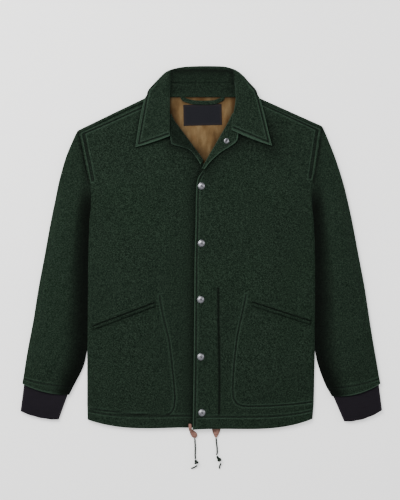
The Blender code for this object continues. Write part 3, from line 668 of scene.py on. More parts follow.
def press(piece, lines, down=1, width=1.5, depth=0.9, ridge=0.42):
    """Presses rows of sewing into a piece and marks them: painted shade in the groove, painted highlight on
    the ridge beside it; down is 1 on top and -1 underneath.
    """
    points, normals = table_points(piece)
    facing = np.clip(normals[:, 2] * down * 2.0, 0, 1)
    seam = measure(piece, "seam")
    apart = np.full(len(points), 1e9)
    for line in lines:
        apart = np.minimum(apart, away(line, points[:, 0], points[:, 1]))
    sunk = np.exp(-(apart / width) ** 2) * facing
    # Painted highlight on the ridge beside the row; only the groove is pressed into the points.
    raised = np.exp(-((apart - SEAM_RIDGE) / 1.3) ** 2) * facing * ridge
    mark(piece, "edge", np.maximum(measure(piece, "edge"), raised))
    points = points - normals * (sunk * depth)[:, None]
    points[:, 2] = np.maximum(points[:, 2], 0.0)
    piece.data.vertices.foreach_set("co", place(points).ravel())
    piece.data.update()
    mark(piece, "seam", np.maximum(seam, sunk))


class Tone:
    """A socket of a finish's nodes, on which arithmetic adds Math nodes."""

    def __init__(self, finish, socket):
        self.finish = finish
        self.socket = socket

    def sum_up(self, operation, *values, clamp=False):
        settings = {"operation": operation, "use_clamp": clamp}
        return self.finish.node("ShaderNodeMath", settings, values)

    def __add__(self, other):
        return self.sum_up("ADD", self, other)

    __radd__ = __add__

    def __sub__(self, other):
        return self.sum_up("SUBTRACT", self, other)

    def __rsub__(self, other):
        return self.sum_up("SUBTRACT", other, self)

    def __mul__(self, other):
        return self.sum_up("MULTIPLY", self, other)

    __rmul__ = __mul__

    def __truediv__(self, other):
        return self.sum_up("DIVIDE", self, other)

    def __pow__(self, other):
        return self.sum_up("POWER", self, other)

    def sine(self):
        return self.sum_up("SINE", self)

    def size(self):
        return self.sum_up("ABSOLUTE", self)

    def kept(self):
        return self.sum_up("ADD", self, 0.0, clamp=True)

    def over(self, low, high):
        """0 below low and 1 above high, smooth between."""
        settings = {"interpolation_type": "SMOOTHSTEP"}
        values = {"Value": self, "From Min": low, "From Max": high}
        return self.finish.node("ShaderNodeMapRange", settings, values)


class Finish:
    """One material of the jacket, made of nodes."""

    def __init__(self, name, **shader):
        self.material = bpy.data.materials.new(name)
        self.material.use_nodes = True
        self.tree = self.material.node_tree
        self.shader = self.tree.nodes["Principled BSDF"]
        for key, value in shader.items():
            self.feed(self.shader.inputs[key.replace("_", " ")], value)

    def feed(self, socket, value):
        if isinstance(value, Tone):
            self.tree.links.new(value.socket, socket)
        else:
            if socket.type == "RGBA" and len(value) == 3:
                value = (*value, 1.0)
            socket.default_value = value

    def node(self, kind, settings=None, values=None, output=0):
        """A node of any type: its settings first, then the values or links of its sockets."""
        made = self.tree.nodes.new(kind)
        for key, value in (settings or {}).items():
            if key == "stops":
                self.set_stops(made.color_ramp, value)
            else:
                setattr(made, key, value)
        named = values.items() if isinstance(values, dict) else enumerate(values or ())
        for key, value in named:
            self.feed(made.inputs[key], value)
        return Tone(self, made.outputs[output])

    def set_stops(self, ramp, stops):
        while len(ramp.elements) < len(stops):
            ramp.elements.new(0.5)
        for element, (position, colour) in zip(ramp.elements, stops):
            element.position = position
            element.color = (*colour, 1.0)

    def place(self, stretch=(1.0, 1.0, 1.0), turn=(0.0, 0.0, 0.0)):
        """The piece's own coordinates in millimetres, stretched and turned."""
        own = self.node("ShaderNodeTexCoord", output=3)
        scale = [1000.0 * s for s in stretch]
        return self.node("ShaderNodeMapping", None, {"Vector": own, "Rotation": turn, "Scale": scale})

    def noise(self, size, detail=2.0, roughness=0.5, stretch=(1.0, 1.0, 1.0), turn=(0.0, 0.0, 0.0)):
        """Cloudy noise whose features are about that many millimetres wide."""
        values = {"Vector": self.place(stretch, turn), "Scale": 1.0 / size,
                  "Detail": detail, "Roughness": roughness}
        return self.node("ShaderNodeTexNoise", None, values)

    def specks(self, size):
        values = {"Vector": self.place(), "Scale": 1.0 / size}
        return self.node("ShaderNodeTexVoronoi", None, values, output=1)

    def mark(self, key):
        """A value stored on the piece's points."""
        return self.node("ShaderNodeAttribute", {"attribute_name": key}, output=2)

    def part_of(self, colour, channel="Red"):
        return self.node("ShaderNodeSeparateColor", None, {"Color": colour}, output=channel)

    def blend(self, a, b, share, way="MIX"):
        """Colour between two colours."""
        settings = {"data_type": "RGBA", "blend_type": way, "clamp_factor": True}
        made = self.node("ShaderNodeMix", settings, {0: share, 6: a, 7: b}, output=2)
        return made

    def ramp(self, value, stops):
        return self.node("ShaderNodeValToRGB", {"stops": stops}, {"Fac": value})

    def relief(self, *layers):
        """Bump layers of height, strength and depth in millimetres, one over another."""
        normal = None
        for height, strength, depth in layers:
            values = {"Height": height, "Strength": strength, "Distance": depth * MM}
            if normal:
                values["Normal"] = normal
            normal = self.node("ShaderNodeBump", None, values)
        self.feed(self.shader.inputs["Normal"], normal)

    def wear(self, **sockets):
        for key, value in sockets.items():
            self.feed(self.shader.inputs[key.replace("_", " ")], value)
        return self.material


def felted_wool(name, tint=1.0):
    """Melton: felted, heathered green, with a short nap; painted highlights along turned edges and beside
    sewing, painted shade in hollows and sewn grooves.
    """
    wool = Finish(name, Roughness=0.95, Sheen_Weight=0.16, Sheen_Roughness=0.28,
                  Sheen_Tint=(0.4, 0.6, 0.47), Specular_IOR_Level=0.08)
    heather = wool.noise(2.6, 5.0, 0.85)
    fibres = wool.noise(0.55, 3.0, 0.7, stretch=(1.0, 0.32, 1.0), turn=(0.0, 0.0, 0.5))
    crossing = wool.noise(0.6, 2.0, 0.6, stretch=(0.3, 1.0, 1.0), turn=(0.0, 0.0, 0.35))
    clouds = wool.noise(85.0, 3.0, 0.55)
    cast = wool.noise(150.0, 2.0, 0.5)
    flecks = wool.noise(1.9, 3.0, 0.7).over(0.56, 0.7)
    base = wool.ramp(heather, ((0.4, (0.0011, 0.0042, 0.0021)), (0.5, (0.0061, 0.0132, 0.0078)),
                               (0.61, (0.0185, 0.0325, 0.0212))))
    base = wool.blend(base, (0.045, 0.062, 0.046), flecks * 0.5)
    base = wool.blend(base, (0.001, 0.0025, 0.0015), (1 - fibres).over(0.5, 0.72) * 0.5)
    base = wool.blend(base, (0.8, 0.95, 0.8), cast.over(0.45, 0.7) * 0.25, "MULTIPLY")
    # Painted highlight: lighter along turned edges, on rims and beside rows of sewing.
    edge = wool.mark("edge")
    base = wool.blend(base, (0.042, 0.078, 0.052), edge * 0.6)
    # Painted shade: darker in hollows, under overlapping layers and in sewn grooves, times a random cloudy
    # tone.
    shade = (1 - wool.mark("recess")) * (1 - wool.mark("seam") * 0.8) * (0.86 + clouds * 0.28) * tint
    grey = wool.node("ShaderNodeCombineColor", None, {0: shade, 1: shade, 2: shade})
    base = wool.blend(base, grey, 1.0, "MULTIPLY")
    wool.relief((heather, 0.55, 0.8), (fibres, 0.4, 0.35), (crossing, 0.35, 0.3))
    return wool.wear(Base_Color=base)


def rib_knit():
    """Fine rib knit in dark charcoal purple, its ribs running down the cuff."""
    knit = Finish("dark_rib_knit", Roughness=0.9, Sheen_Weight=0.08, Sheen_Roughness=0.5,
                  Sheen_Tint=(0.5, 0.44, 0.52), Specular_IOR_Level=0.1)
    rib = knit.mark("rib")
    down = knit.mark("down")
    stitches = (down * (2 * math.pi / 1.9) + rib.size() * 1.6).sine() * 0.5 + 0.5
    fuzz = knit.noise(0.7, 3.0, 0.65)
    wash = knit.noise(22.0, 2.0, 0.5)
    # Painted shade and highlight: darker in the troughs between ribs, lighter on their crests.
    base = knit.ramp(rib * 0.5 + 0.5, ((0.1, (0.0026, 0.0021, 0.0031)), (0.6, (0.0068, 0.0056, 0.0082)),
                                      (0.95, (0.0135, 0.0115, 0.0162))))
    base = knit.blend(base, (0.008, 0.006, 0.009), (1 - stitches) * 0.35)
    base = knit.blend(base, (0.026, 0.023, 0.031), fuzz.over(0.55, 0.75) * 0.35)
    base = knit.blend(base, (0.7, 0.66, 0.74), wash.over(0.4, 0.7) * 0.4, "MULTIPLY")
    knit.relief((stitches, 0.5, 0.35), (fuzz, 0.4, 0.3))
    return knit.wear(Base_Color=base)


def brushed_cotton():
    """Tan lining: a brushed twill with soft streaks of orange-brown."""
    cotton = Finish("tan_lining", Roughness=0.9, Sheen_Weight=0.06, Sheen_Roughness=0.5,
                    Sheen_Tint=(0.9, 0.75, 0.5), Specular_IOR_Level=0.1)
    streaks = cotton.noise(16.0, 2.0, 0.5, stretch=(1.0, 0.4, 1.0), turn=(0.0, 0.0, 0.06))
    blush = cotton.noise(34.0, 2.0, 0.5, stretch=(1.0, 0.5, 1.0))
    nap = cotton.noise(0.9, 3.0, 0.65)
    twill = cotton.node("ShaderNodeTexWave", {"bands_direction": "DIAGONAL"},
                        {"Vector": cotton.place(), "Scale": 0.22, "Distortion": 0.6, "Detail": 2.0,
                         "Detail Scale": 2.0})
    twill = cotton.part_of(twill)
    base = cotton.ramp(streaks, ((0.28, (0.05, 0.026, 0.009)), (0.5, (0.098, 0.058, 0.023)),
                                 (0.75, (0.15, 0.1, 0.047))))
    base = cotton.blend(base, (0.085, 0.036, 0.009), blush.over(0.48, 0.7) * 0.55)
    base = cotton.blend(base, (0.045, 0.026, 0.01), (1 - twill) * 0.2)
    base = cotton.blend(base, (0.2, 0.145, 0.08), nap.over(0.55, 0.75) * 0.3)
    # Painted shade where the lining lies deep in the neck and beside the pieces over it.
    shade = 1 - cotton.mark("recess")
    grey = cotton.node("ShaderNodeCombineColor", None, {0: shade, 1: shade, 2: shade})
    base = cotton.blend(base, grey, 1.0, "MULTIPLY")
    cotton.relief((nap, 0.4, 0.3), (twill, 0.25, 0.2))
    return cotton.wear(Base_Color=base)


def woven_label():
    """Dark navy woven label with a plain tan border line."""
    woven = Finish("navy_label", Roughness=0.8, Sheen_Weight=0.03, Specular_IOR_Level=0.12)
    threads = woven.node("ShaderNodeTexWave", {"bands_direction": "X"},
                         {"Vector": woven.place(turn=(0, 0, 0.026)), "Scale": 0.5, "Distortion": 0.3})
    picks = woven.node("ShaderNodeTexWave", {"bands_direction": "Y"},
                       {"Vector": woven.place(turn=(0, 0, 0.026)), "Scale": 0.35, "Distortion": 0.3})
    weave = woven.part_of(threads) * 0.5 + woven.part_of(picks) * 0.5
    fuzz = woven.noise(0.8, 2.0, 0.6)
    base = woven.ramp(weave, ((0.2, (0.0025, 0.0026, 0.0042)), (0.9, (0.0085, 0.0088, 0.0125))))
    base = woven.blend(base, (0.014, 0.014, 0.018), fuzz.over(0.5, 0.8) * 0.3)
    line = woven.mark("border")
    base = woven.blend(base, (0.03, 0.018, 0.014), line * 0.5)
    woven.relief((weave, 0.4, 0.2), (fuzz, 0.2, 0.15))
    return woven.wear(Base_Color=base)


def pewter():
    """Pewter-coloured snap metal, a little worn on its dome, with a painted dark spot: a painted dark
    reflection at a cap's dimple and painted shade in the socket's hollow.
    """
    metal = Finish("pewter_snap", Metallic=1.0, Roughness=0.3)
    haze = metal.noise(2.2, 3.0, 0.6)
    wear = metal.noise(0.5, 2.0, 0.6, stretch=(1.0, 0.2, 1.0))
    base = metal.ramp(haze, ((0.3, (0.17, 0.17, 0.19)), (0.7, (0.36, 0.36, 0.39))))
    # Painted dark spot, duller too: a painted reflection on a cap, painted shade in the socket's hollow.
    base = metal.blend(base, (0.012, 0.012, 0.014), metal.mark("dark"))
    metal.relief((wear, 0.12, 0.08))
    return metal.wear(Base_Color=base, Roughness=0.22 + haze * 0.22 + metal.mark("dark") * 0.35)


def waxed_leather():
    """Brown leather with a pinkish bloom, darker and polished along its edges."""
    hide = Finish("brown_leather", Roughness=0.5, Specular_IOR_Level=0.45)
    cells = hide.specks(1.1)
    grain = hide.part_of(cells)
    pores = hide.noise(0.6, 3.0, 0.6)
    bloom = hide.noise(5.0, 2.0, 0.5)
    base = hide.ramp(bloom, ((0.3, (0.105, 0.043, 0.03)), (0.7, (0.27, 0.13, 0.1))))
    base = hide.blend(base, (0.06, 0.022, 0.014), pores.over(0.55, 0.75) * 0.5)
    base = hide.blend(base, (0.05, 0.019, 0.012), hide.mark("edge") * 0.7)
    hide.relief((pores, 0.35, 0.25), (grain, 0.15, 0.2))
    return hide.wear(Base_Color=base, Roughness=0.42 + pores * 0.25)


def twisted_cord():
    """Dark green cord with a dry, hairy surface."""
    twist = Finish("green_drawcord", Roughness=0.9, Sheen_Weight=0.06, Sheen_Roughness=0.5,
                   Sheen_Tint=(0.45, 0.6, 0.5), Specular_IOR_Level=0.1)
    hair = twist.noise(0.5, 3.0, 0.65)
    strand = twist.mark("strand")
    # Painted shade and highlight: darker in the grooves between strands, lighter on their crests.
    base = twist.ramp(strand, ((0.1, (0.002, 0.0042, 0.0026)), (0.6, (0.0075, 0.0145, 0.009)),
                               (0.95, (0.0165, 0.028, 0.019))))
    base = twist.blend(base, (0.022, 0.034, 0.024), hair.over(0.55, 0.8) * 0.35)
    twist.relief((hair, 0.45, 0.3))
    return twist.wear(Base_Color=base)


def sewing_thread():
    thread = Finish("green_thread", Roughness=0.75, Sheen_Weight=0.04, Specular_IOR_Level=0.15)
    ply = thread.noise(0.35, 2.0, 0.6, stretch=(1.0, 0.4, 1.0), turn=(0.0, 0.0, 0.8))
    base = thread.ramp(ply, ((0.3, (0.0016, 0.0042, 0.0026)), (0.7, (0.0075, 0.0145, 0.0098))))
    thread.relief((ply, 0.3, 0.1))
    return thread.wear(Base_Color=base)


def pale_floor():
    """Plain pale paper under the jacket."""
    paper = Finish("pale_paper", Roughness=0.9, Specular_IOR_Level=0.1,
                   Emission_Color=(1.0, 1.0, 1.0), Emission_Strength=0.5)
    tooth = paper.noise(1.6, 3.0, 0.6)
    cloud = paper.noise(300.0, 2.0, 0.5)
    base = paper.ramp(cloud, ((0.2, (0.92, 0.92, 0.92)), (0.8, (0.94, 0.94, 0.94))))
    paper.relief((tooth, 0.05, 0.1))
    return paper.wear(Base_Color=base)


def front_piece(name, table, face, finish):
    """A front, from its front edge across to the side, where it rounds over to the side seam."""
    rows = between(table, 4.2)
    shares = np.linspace(0, 1, 60)[None, :]
    width = np.abs(rows[:, 2] - rows[:, 0])[:, None]
    flat = 1 - SIDE_ROUND / width
    angles = np.radians(np.array([18.0, 36.0, 54.0, 72.0, 90.0]))[None, :]
    turned = 1 - (1 - np.sin(angles)) * SIDE_ROUND / width
    share = np.hstack([shares * flat, turned])
    angle = np.hstack([np.zeros_like(shares), angles])
    x = mix(rows[:, 0:1], rows[:, 2:3], share)
    y = mix(rows[:, 1:2], rows[:, 3:4], share) + rows[:, 5:6] * 6.75 * share ** 2 * (1 - share)
    z = face(x, y)
    rounding = np.clip(rows[:, 4:5], 0, 1)
    z = z - rounding * (z - BODY_RISE) * (1 - np.cos(angle))
    grid = np.dstack([x, y, z])
    if rows[0, 2] < rows[0, 0]:
        grid = grid[:, ::-1]
    return wall(name, grid, WOOL, finish, floor=BODY_RISE, lip=3)


def section_line(table, height, first=0.0, last=1.0):
    """Line across a front at a height above the hem, following the hem's own curve."""
    rows = between(table, 3.0)
    row = rows[np.argmin(np.abs(rows[:, 1] - height))]
    share = np.linspace(first, last, 30)
    x = mix(row[0], row[2], share)
    y = mix(row[1], row[3], share) + row[5] * 6.75 * share ** 2 * (1 - share)
    return np.column_stack([x, y])


def back_piece(finish):
    """The back: its underside rests, and its top edge rolls over the shoulders to the seam."""
    columns = between(BACK, 7.0, smooth=False)
    heights = np.concatenate([np.linspace(0, 0.03, 3)[:-1], np.linspace(0.03, 1, 92)])
    angles = np.radians(np.linspace(0, 180, 11))[1:]
    sides = np.array(BACK_SIDES, dtype=float)
    share = (columns[:, 0] - BACK[0][0]) / (BACK[-1][0] - BACK[0][0])
    roll = np.clip(columns[:, 3], 0, 1)[:, None]
    hem = columns[:, 1:2]
    straight = columns[:, 2:3] - FOLD_RADIUS
    y_flat = mix(hem, straight, heights[None, :])
    rolled = straight + FOLD_RADIUS * np.sin(angles)[None, :]
    plain = straight + (FOLD_RADIUS - 1) * angles[None, :] / math.pi
    y_turn = mix(plain, rolled, roll)
    z_turn = roll * FOLD_RADIUS * (1 - np.cos(angles))[None, :]
    y_end = mix(columns[:, 2:3], columns[:, 2:3] - SEAM_IN_FRONT, roll)
    y = np.hstack([y_flat, y_turn, y_end])
    right = np.interp(y, sides[:, 0], sides[:, 1])
    left = np.interp(y, sides[:, 0], sides[:, 2])
    x = mix(right, left, share[:, None])
    crease = folds(BACK_CREASES, x, y) + 0.35 + 0.3 * unevenness(x, y, 60, 5.0)
    lifted = np.clip(crease, 0, 1.3) * ease(0, 30, y - hem) * (1 - ease(-60, -25, y - straight))
    z_flat = np.zeros_like(y_flat)
    z = np.hstack([z_flat, z_turn, roll * TOP])
    z[:, :y_flat.shape[1]] += lifted[:, :y_flat.shape[1]]
    pressed = np.ones_like(z)
    between_rolls = ((roll > 0.02) & (roll < 0.98))[:, 0]
    pressed[between_rolls, len(heights):] = 0.45
    return wall("wool_back", np.dstack([x, y, z]), WOOL * pressed, finish, levels=0)


def tube_ring(row, height, columns, crown=None, dip_power=1.0):
    """Flattened ring between two folds, with a crowned upper side."""
    outer_x, outer_y, inner_x, inner_y, dip = row
    length = math.hypot(inner_x - outer_x, inner_y - outer_y)
    top = np.linspace(0, 1, columns)
    rise = crown(top) if crown else np.zeros_like(top)
    high = height + rise
    first = high[0] / 2
    last = high[-1] / 2
    along = mix(first, length - last, top)
    section = [np.column_stack([along, high, top])]
    turn = np.radians(np.array([30.0, 60.0, 90.0, 120.0, 150.0]))
    fold = (length - last + last * np.sin(turn), last + last * np.cos(turn), np.ones(5))
    section.append(np.column_stack(fold))
    under = np.linspace(1, 0, 9)
    section.append(np.column_stack([mix(first, length - last, under), np.zeros(9), under]))
    section.append(np.column_stack([first - first * np.sin(turn), first - first * np.cos(turn), np.zeros(5)]))
    section = np.concatenate(section)
    t = section[:, 0] / length
    x = mix(outer_x, inner_x, t)
    y = mix(outer_y, inner_y, t) + dip * 4 * t * (1 - t)
    return np.column_stack([x, y, section[:, 1], section[:, 2]])


def sleeve_piece(name, table, finish):
    """Sleeve: full along its outer half, and lying lower along the body."""
    rings = []
    columns = 44
    for outer_x, outer_y, inner_x, inner_y, height, dip in between(table, 4.2):
        down = ease(560, 470, outer_y)
        hem = ease(88, 150, outer_y)
        loft = SLEEVE_LOFT * down * (0.35 + 0.65 * hem)
        sink = SLEEVE_SINK * ease(560, 500, outer_y) * ease(96, 150, outer_y)

        def crown(share):
            full = np.sin(math.pi * np.clip(share, 0, 1) ** 0.74) ** 1.15
            return loft * full - sink * ease(0.66, 1.0, share) - 1.2 * down * ease(0.12, 0.0, share)

        ring = tube_ring((outer_x, outer_y, inner_x, inner_y, dip), height, columns, crown)
        rings.append(ring)
    rings = np.array(rings)
    x = rings[:, :, 0]
    y = rings[:, :, 1]
    upper = np.zeros(x.shape)
    upper[:, :columns] = ease(0, 0.1, rings[:, :columns, 3]) * (1 - ease(0.9, 1.0, rings[:, :columns, 3]))
    worn = folds(SLEEVE_FOLDS, x, y) + folds(SLEEVE_CREASES, x, y)
    worn = worn + 0.6 * unevenness(x, y, 55, 7.0) + 0.25 * unevenness(x, y, 20, 2.0)
    rings[:, :, 2] += worn * upper * ease(94, 112, y)
    toward_body = np.sign(table[-1][2] - table[-1][0])
    beside = ease(0.75, 1.0, rings[:, :, 3]) * ease(150, 200, y)
    rings[:, :, 0] += toward_body * ARMHOLE_TUCK * beside * (1 + 1.6 * ease(530, 500, y))
    caught = rings[:1].copy()
    caught[:, :, 0] += toward_body * 2.6
    caught[:, :, 2] = 1.2 + caught[:, :, 2] * 0.66
    rings = np.concatenate([caught, rings])
    outer = rings[:, :, :3]
    return wall(name, outer, WOOL * 0.9, finish, ring=True, lip=4, marks={"across": rings[:, :, 3]})


def cuff_piece(name, sleeve_table, edge, finish):
    """Rib-knit cuff, from the sleeve's hem to its free edge, with fine raised ribs on its upper face."""
    hem = sleeve_table[-1]
    length = math.dist(hem[:2], hem[2:4])
    t = CUFF_INSET / length
    end_dip = hem[5] * 4 * t * (1 - t)
    middle = (mix(hem[0], hem[2], 0.5), mix(hem[1], hem[3], 0.5))
    edge_middle = (mix(edge[0], edge[2], 0.5), mix(edge[1], edge[3], 0.5))
    reach = math.dist(middle, edge_middle)
    down_x = (edge_middle[0] - middle[0]) / reach * SEAM * 2
    down_y = (edge_middle[1] - middle[1]) / reach * SEAM * 2 + end_dip
    start = np.array((mix(hem[0], hem[2], t) + down_x, mix(hem[1], hem[3], t) + down_y,
                      mix(hem[0], hem[2], 1 - t) + down_x, mix(hem[1], hem[3], 1 - t) + down_y,
                      hem[5] - end_dip))
    ribs = 2 * CUFF_RIBS
    columns = 6 * ribs + 1
    rings = []
    down_share = np.concatenate([[0, 0.03], np.linspace(0.08, 0.92, 12), [0.97, 1]])
    for along in down_share:
        row = mix(start, np.array(edge, dtype=float), along)
        swell = 1.2 * math.sin(math.pi * along) ** 0.8

        def crown(share):
            return swell * np.sin(math.pi * share) ** 0.6

        ring = tube_ring(row, CUFF_HEIGHT, columns, crown)
        wave = np.cos(2 * math.pi * ring[:, 3] * ribs)
        seen = np.zeros(len(ring))
        seen[:columns] = 1.0
        uneven = 0.25 * noise.noise(Vector((along * 3, 1.0, 2.0)))
        ring[:, 2] += seen * (RIB_HEIGHT * (0.5 + 0.5 * wave) + uneven)
        gather = 0.3 * np.sin(ring[:, 3] * 2 * math.pi * 3.2 + 0.7) * ease(0.6, 1.0, along)
        ring[:, 1] += gather * seen
        rib = np.where(seen > 0, wave, 0.0)
        rings.append(np.column_stack([ring, rib, np.full(len(ring), along * reach)]))
    rings = np.array(rings)
    marks = {"across": rings[:, :, 3], "rib": rings[:, :, 4], "down": rings[:, :, 5]}
    return wall(name, rings[:, :, :3], RIB_KNIT, finish, ring=True, marks=marks, levels=0)


def leaf_section(row, dip):
    """Section of the collar where it lies on a front, from its foot to its outer edge."""
    roll_x, roll_y, edge_x, edge_y, foot_z, crest_z, edge_z = row
    width = math.dist((roll_x, roll_y), (edge_x, edge_y))
    heights = (
        (0.0, foot_z),
        (0.9, mix(foot_z, crest_z, 0.75)),
        (4.4, crest_z),
        (0.3 * width, mix(crest_z, edge_z, 0.25)),
        (0.55 * width, mix(crest_z, edge_z, 0.55)),
        (0.8 * width, mix(crest_z, edge_z, 0.85)),
        (width - 3.0, edge_z + 0.1),
        (width, edge_z),
    )
    section = []
    for distance, z in heights:
        t = distance / width
        section.append((mix(roll_x, edge_x, t), mix(roll_y, edge_y, t) + dip * 4 * t * (1 - t), z))
    return section


def turn_section(row):
    """Section of the collar where it turns over the shoulder and ends underneath."""
    foot_x, foot_y, roll_x, roll_y, out_x, out_y, under_x, under_y, crest_z, tuck = row
    away_x = math.copysign(3.0, out_x - roll_x)
    return [
        (foot_x, foot_y, STAND_INSIDE),
        (roll_x, roll_y, mix(STAND_INSIDE, crest_z, 0.5)),
        (mix(roll_x, out_x, 0.15), mix(roll_y, out_y, 0.15), crest_z),
        (mix(roll_x, out_x, 0.55), mix(roll_y, out_y, 0.55), crest_z - 1.2),
        (out_x - away_x, out_y, crest_z - 4),
        (out_x, out_y, mix(LEAF_EDGE, crest_z * 0.42, tuck)),
        (mix(out_x, under_x, 0.3), mix(out_y, under_y, 0.3), mix(LEAF_EDGE, 0.8, tuck)),
        (under_x, under_y, mix(LEAF_EDGE, 0, tuck)),
    ]


def back_section(row):
    """Section of the collar behind the neck, over the roll and down underneath."""
    x, roll_y, under_y = row
    return [
        (x, STAND_SEAM, STAND_INSIDE),
        (x, STAND_SEAM + 12, BACK_ROLL - 0.2),
        (x, roll_y - 8, BACK_ROLL),
        (x, roll_y - 2.0, BACK_ROLL - 1.6),
        (x, roll_y, BACK_ROLL / 2),
        (x, roll_y - 2.0, 1.6),
        (x, roll_y - 8, 0),
        (x, under_y, 0),
    ]


def collar_piece(finish):
    """Collar: right leaf, round the back of the neck, left leaf."""
    sections = [leaf_section(row, -1.5) for row in LEAF_RIGHT]
    sections += [turn_section(row) for row in TURN_RIGHT]
    sections += [back_section(row) for row in COLLAR_BACK]
    sections += [turn_section(row) for row in TURN_LEFT]
    sections += [leaf_section(row, -3) for row in LEAF_LEFT]
    grid = np.array([section[::-1] for section in sections], dtype=float)
    corners = [len(LEAF_RIGHT) - 1, len(LEAF_RIGHT), len(LEAF_RIGHT) + len(TURN_RIGHT) - 1]
    corners += [len(sections) - 1 - i for i in corners]
    thick = np.tile(np.array(COLLAR_PRESSED), (len(sections), 1))
    thick[corners] *= COLLAR_CORNER
    packed = np.dstack([grid, thick * WOOL])
    packed = corner_cut(corner_cut(packed, 2, 0), 2, 1)
    x = packed[..., 0]
    y = packed[..., 1]
    leaf = ease(722, 690, y) * ease(4, 16, np.abs(x - 4.5) - 64)
    packed[..., 2] += leaf * (0.45 * unevenness(x, y, 34, 4.0) + 0.2 * unevenness(x, y, 13, 8.0))
    return wall("wool_collar", packed[..., :3], packed[..., 3], finish)


def stand_piece(finish):
    """Stand between the neck seam and the collar."""
    share = np.linspace(0, 1, 40)[None, :]
    rows = between(STAND, 3.0, smooth=False)
    x = mix(rows[:, 1:2] - STAND_TUCK, rows[:, 2:3] + STAND_TUCK, share)
    y = np.repeat(rows[:, 0:1], 40, axis=1)
    z = np.repeat(rows[:, 3:4], 40, axis=1) + 0.3 * unevenness(x, y, 18, 6.0)
    return wall("wool_stand", np.dstack([x, y, z]), WOOL, finish)


def lining_piece(finish):
    """Lining, with the soft upright wrinkles that show inside the neck."""
    rows = between(LINING_ROWS[::-1], 3.0, smooth=False)
    share = np.linspace(0, 1, 50)[None, :]
    x = mix(rows[:, 1:2], rows[:, 2:3], share)
    y = np.repeat(rows[:, 0:1], 50, axis=1)
    under_label = np.exp(-((np.maximum(np.abs(x - LABEL[0]) - 38, 0) / 6) ** 2
                           + (np.maximum(np.abs(y - LABEL[1]) - 20, 0) / 5) ** 2))
    edge = ease(0, 0.06, share) * ease(1, 0.94, share) * ease(714, 700, y)
    creased = folds(LINING_WRINKLES, x, y) + 0.35 * unevenness(x, y, 12, 1.0)
    z = BODY_RISE + LINING + np.maximum(creased, -0.3) * edge * (1 - under_label)
    return wall("tan_lining", np.dstack([x, y, z]), LINING, finish)


def lapel_piece(name, table, face, finish):
    """Facing turned out over a front, rounded down where it rolls."""
    rows = between(table, 4.5)
    width = np.linalg.norm(rows[:, 2:4] - rows[:, 0:2], axis=1)[:, None]
    flat_from = 4.2
    steps = ((0.2, 0.6 - WOOL), (0.0, -1.2), (0.1, 0), (0.6, FACING * 0.6), (1.6, FACING * 0.9),
             (flat_from, FACING))
    distance = [np.full_like(width, d) for d, _ in steps]
    rise = [r for _, r in steps]
    for k in range(1, 8):
        distance.append(mix(flat_from, width, k / 7))
        rise.append(FACING)
    t = np.hstack(distance) / width
    x = mix(rows[:, 0:1], rows[:, 2:3], t)
    y = mix(rows[:, 1:2], rows[:, 3:4], t)
    z = face(x, y) + LAPEL_CLEAR + np.array(rise)[None, :]
    grid = np.dstack([x, y, z])
    if table[0][2] < table[0][0]:
        grid = grid[:, ::-1]
    return wall(name, grid, FACING - SEAM, finish)


def welt_piece(name, slit, offset, width, face, finish):
    """Strip of wool along a pocket slit, rounded along both edges."""
    inner_x, inner_y, outer_x, outer_y = slit
    length = math.dist((inner_x, inner_y), (outer_x, outer_y))
    up = np.array((-(outer_y - inner_y), outer_x - inner_x)) / length
    if up[1] < 0:
        up = -up
    share = np.linspace(0, 1, 46)[:, None]
    side = np.array((0, 0.07, 0.2, 0.4, 0.6, 0.8, 0.93, 1))[None, :]
    x = mix(inner_x, outer_x, share) + up[0] * (offset + width * side)
    y = mix(inner_y, outer_y, share) + up[1] * (offset + width * side)
    crown = 1.5 * np.sin(math.pi * side) ** 0.6 * ease(0, 0.03, share) * ease(1, 0.97, share)
    z = face(x, y) + SEAM + WELT_THICKNESS - 0.5 + crown
    grid = np.dstack([x, y, z])
    if outer_x > inner_x:
        grid = grid[::-1]
    return wall(name, grid, WELT_THICKNESS - 0.5, finish, inset=0.6)


def hanger_piece(finish):
    """Wool hanger loop, its two ends caught in the neck seam."""
    ends = ((HANGER[0][0] - 1.5, HANGER[0][1] + 4.5, 6.0), (HANGER[-1][0] + 1.5, HANGER[-1][1] + 4.5, 6.0))
    rows = between((ends[0], *HANGER, ends[1]), 2.0)
    rows[:, 1] -= 1.0
    along = np.gradient(rows[:, :2], axis=0)
    along /= np.linalg.norm(along, axis=1, keepdims=True)
    side = np.array((0.5, 0.4, 0.2, 0, -0.2, -0.4, -0.5))[None, :]
    x = rows[:, 0:1] - along[:, 1:2] * HANGER_SEEN * side
    y = rows[:, 1:2] + along[:, 0:1] * HANGER_SEEN * side
    crown = 0.45 * (1 - (2 * np.abs(side)) ** 3)
    z = rows[:, 2:3] + HANGER_THICKNESS / 2 + crown - 0.1
    return wall("wool_hanger", np.dstack([x, y, z]), HANGER_THICKNESS, finish, inset=0.5)


def label_piece(finish):
    """Neck label with a plain border."""
    x0, y0, width, height = LABEL
    turn = math.radians(LABEL_TURN)
    side = np.linspace(-0.5, 0.5, 60)[None, :] * width
    up = np.linspace(-0.5, 0.5, 34)[:, None] * height
    x = x0 + side * math.cos(turn) - up * math.sin(turn)
    y = y0 + side * math.sin(turn) + up * math.cos(turn)
    wave = 0.16 * np.sin(side * 0.16 + 1.0) * np.cos(up * 0.05) + 0.1 * unevenness(x, y, 16, 5.0)
    z = BODY_RISE + LINING + SEAM + LABEL_THICKNESS + wave + 0.15
    from_edge = np.minimum(width / 2 - np.abs(side) + 0 * up, height / 2 - np.abs(up) + 0 * side)
    border = np.exp(-((from_edge - 3.2) / 0.55) ** 2)
    return wall("navy_label", np.dstack([x, y, z]), LABEL_THICKNESS * 0.8, finish,
                marks={"border": border}, inset=0.4)


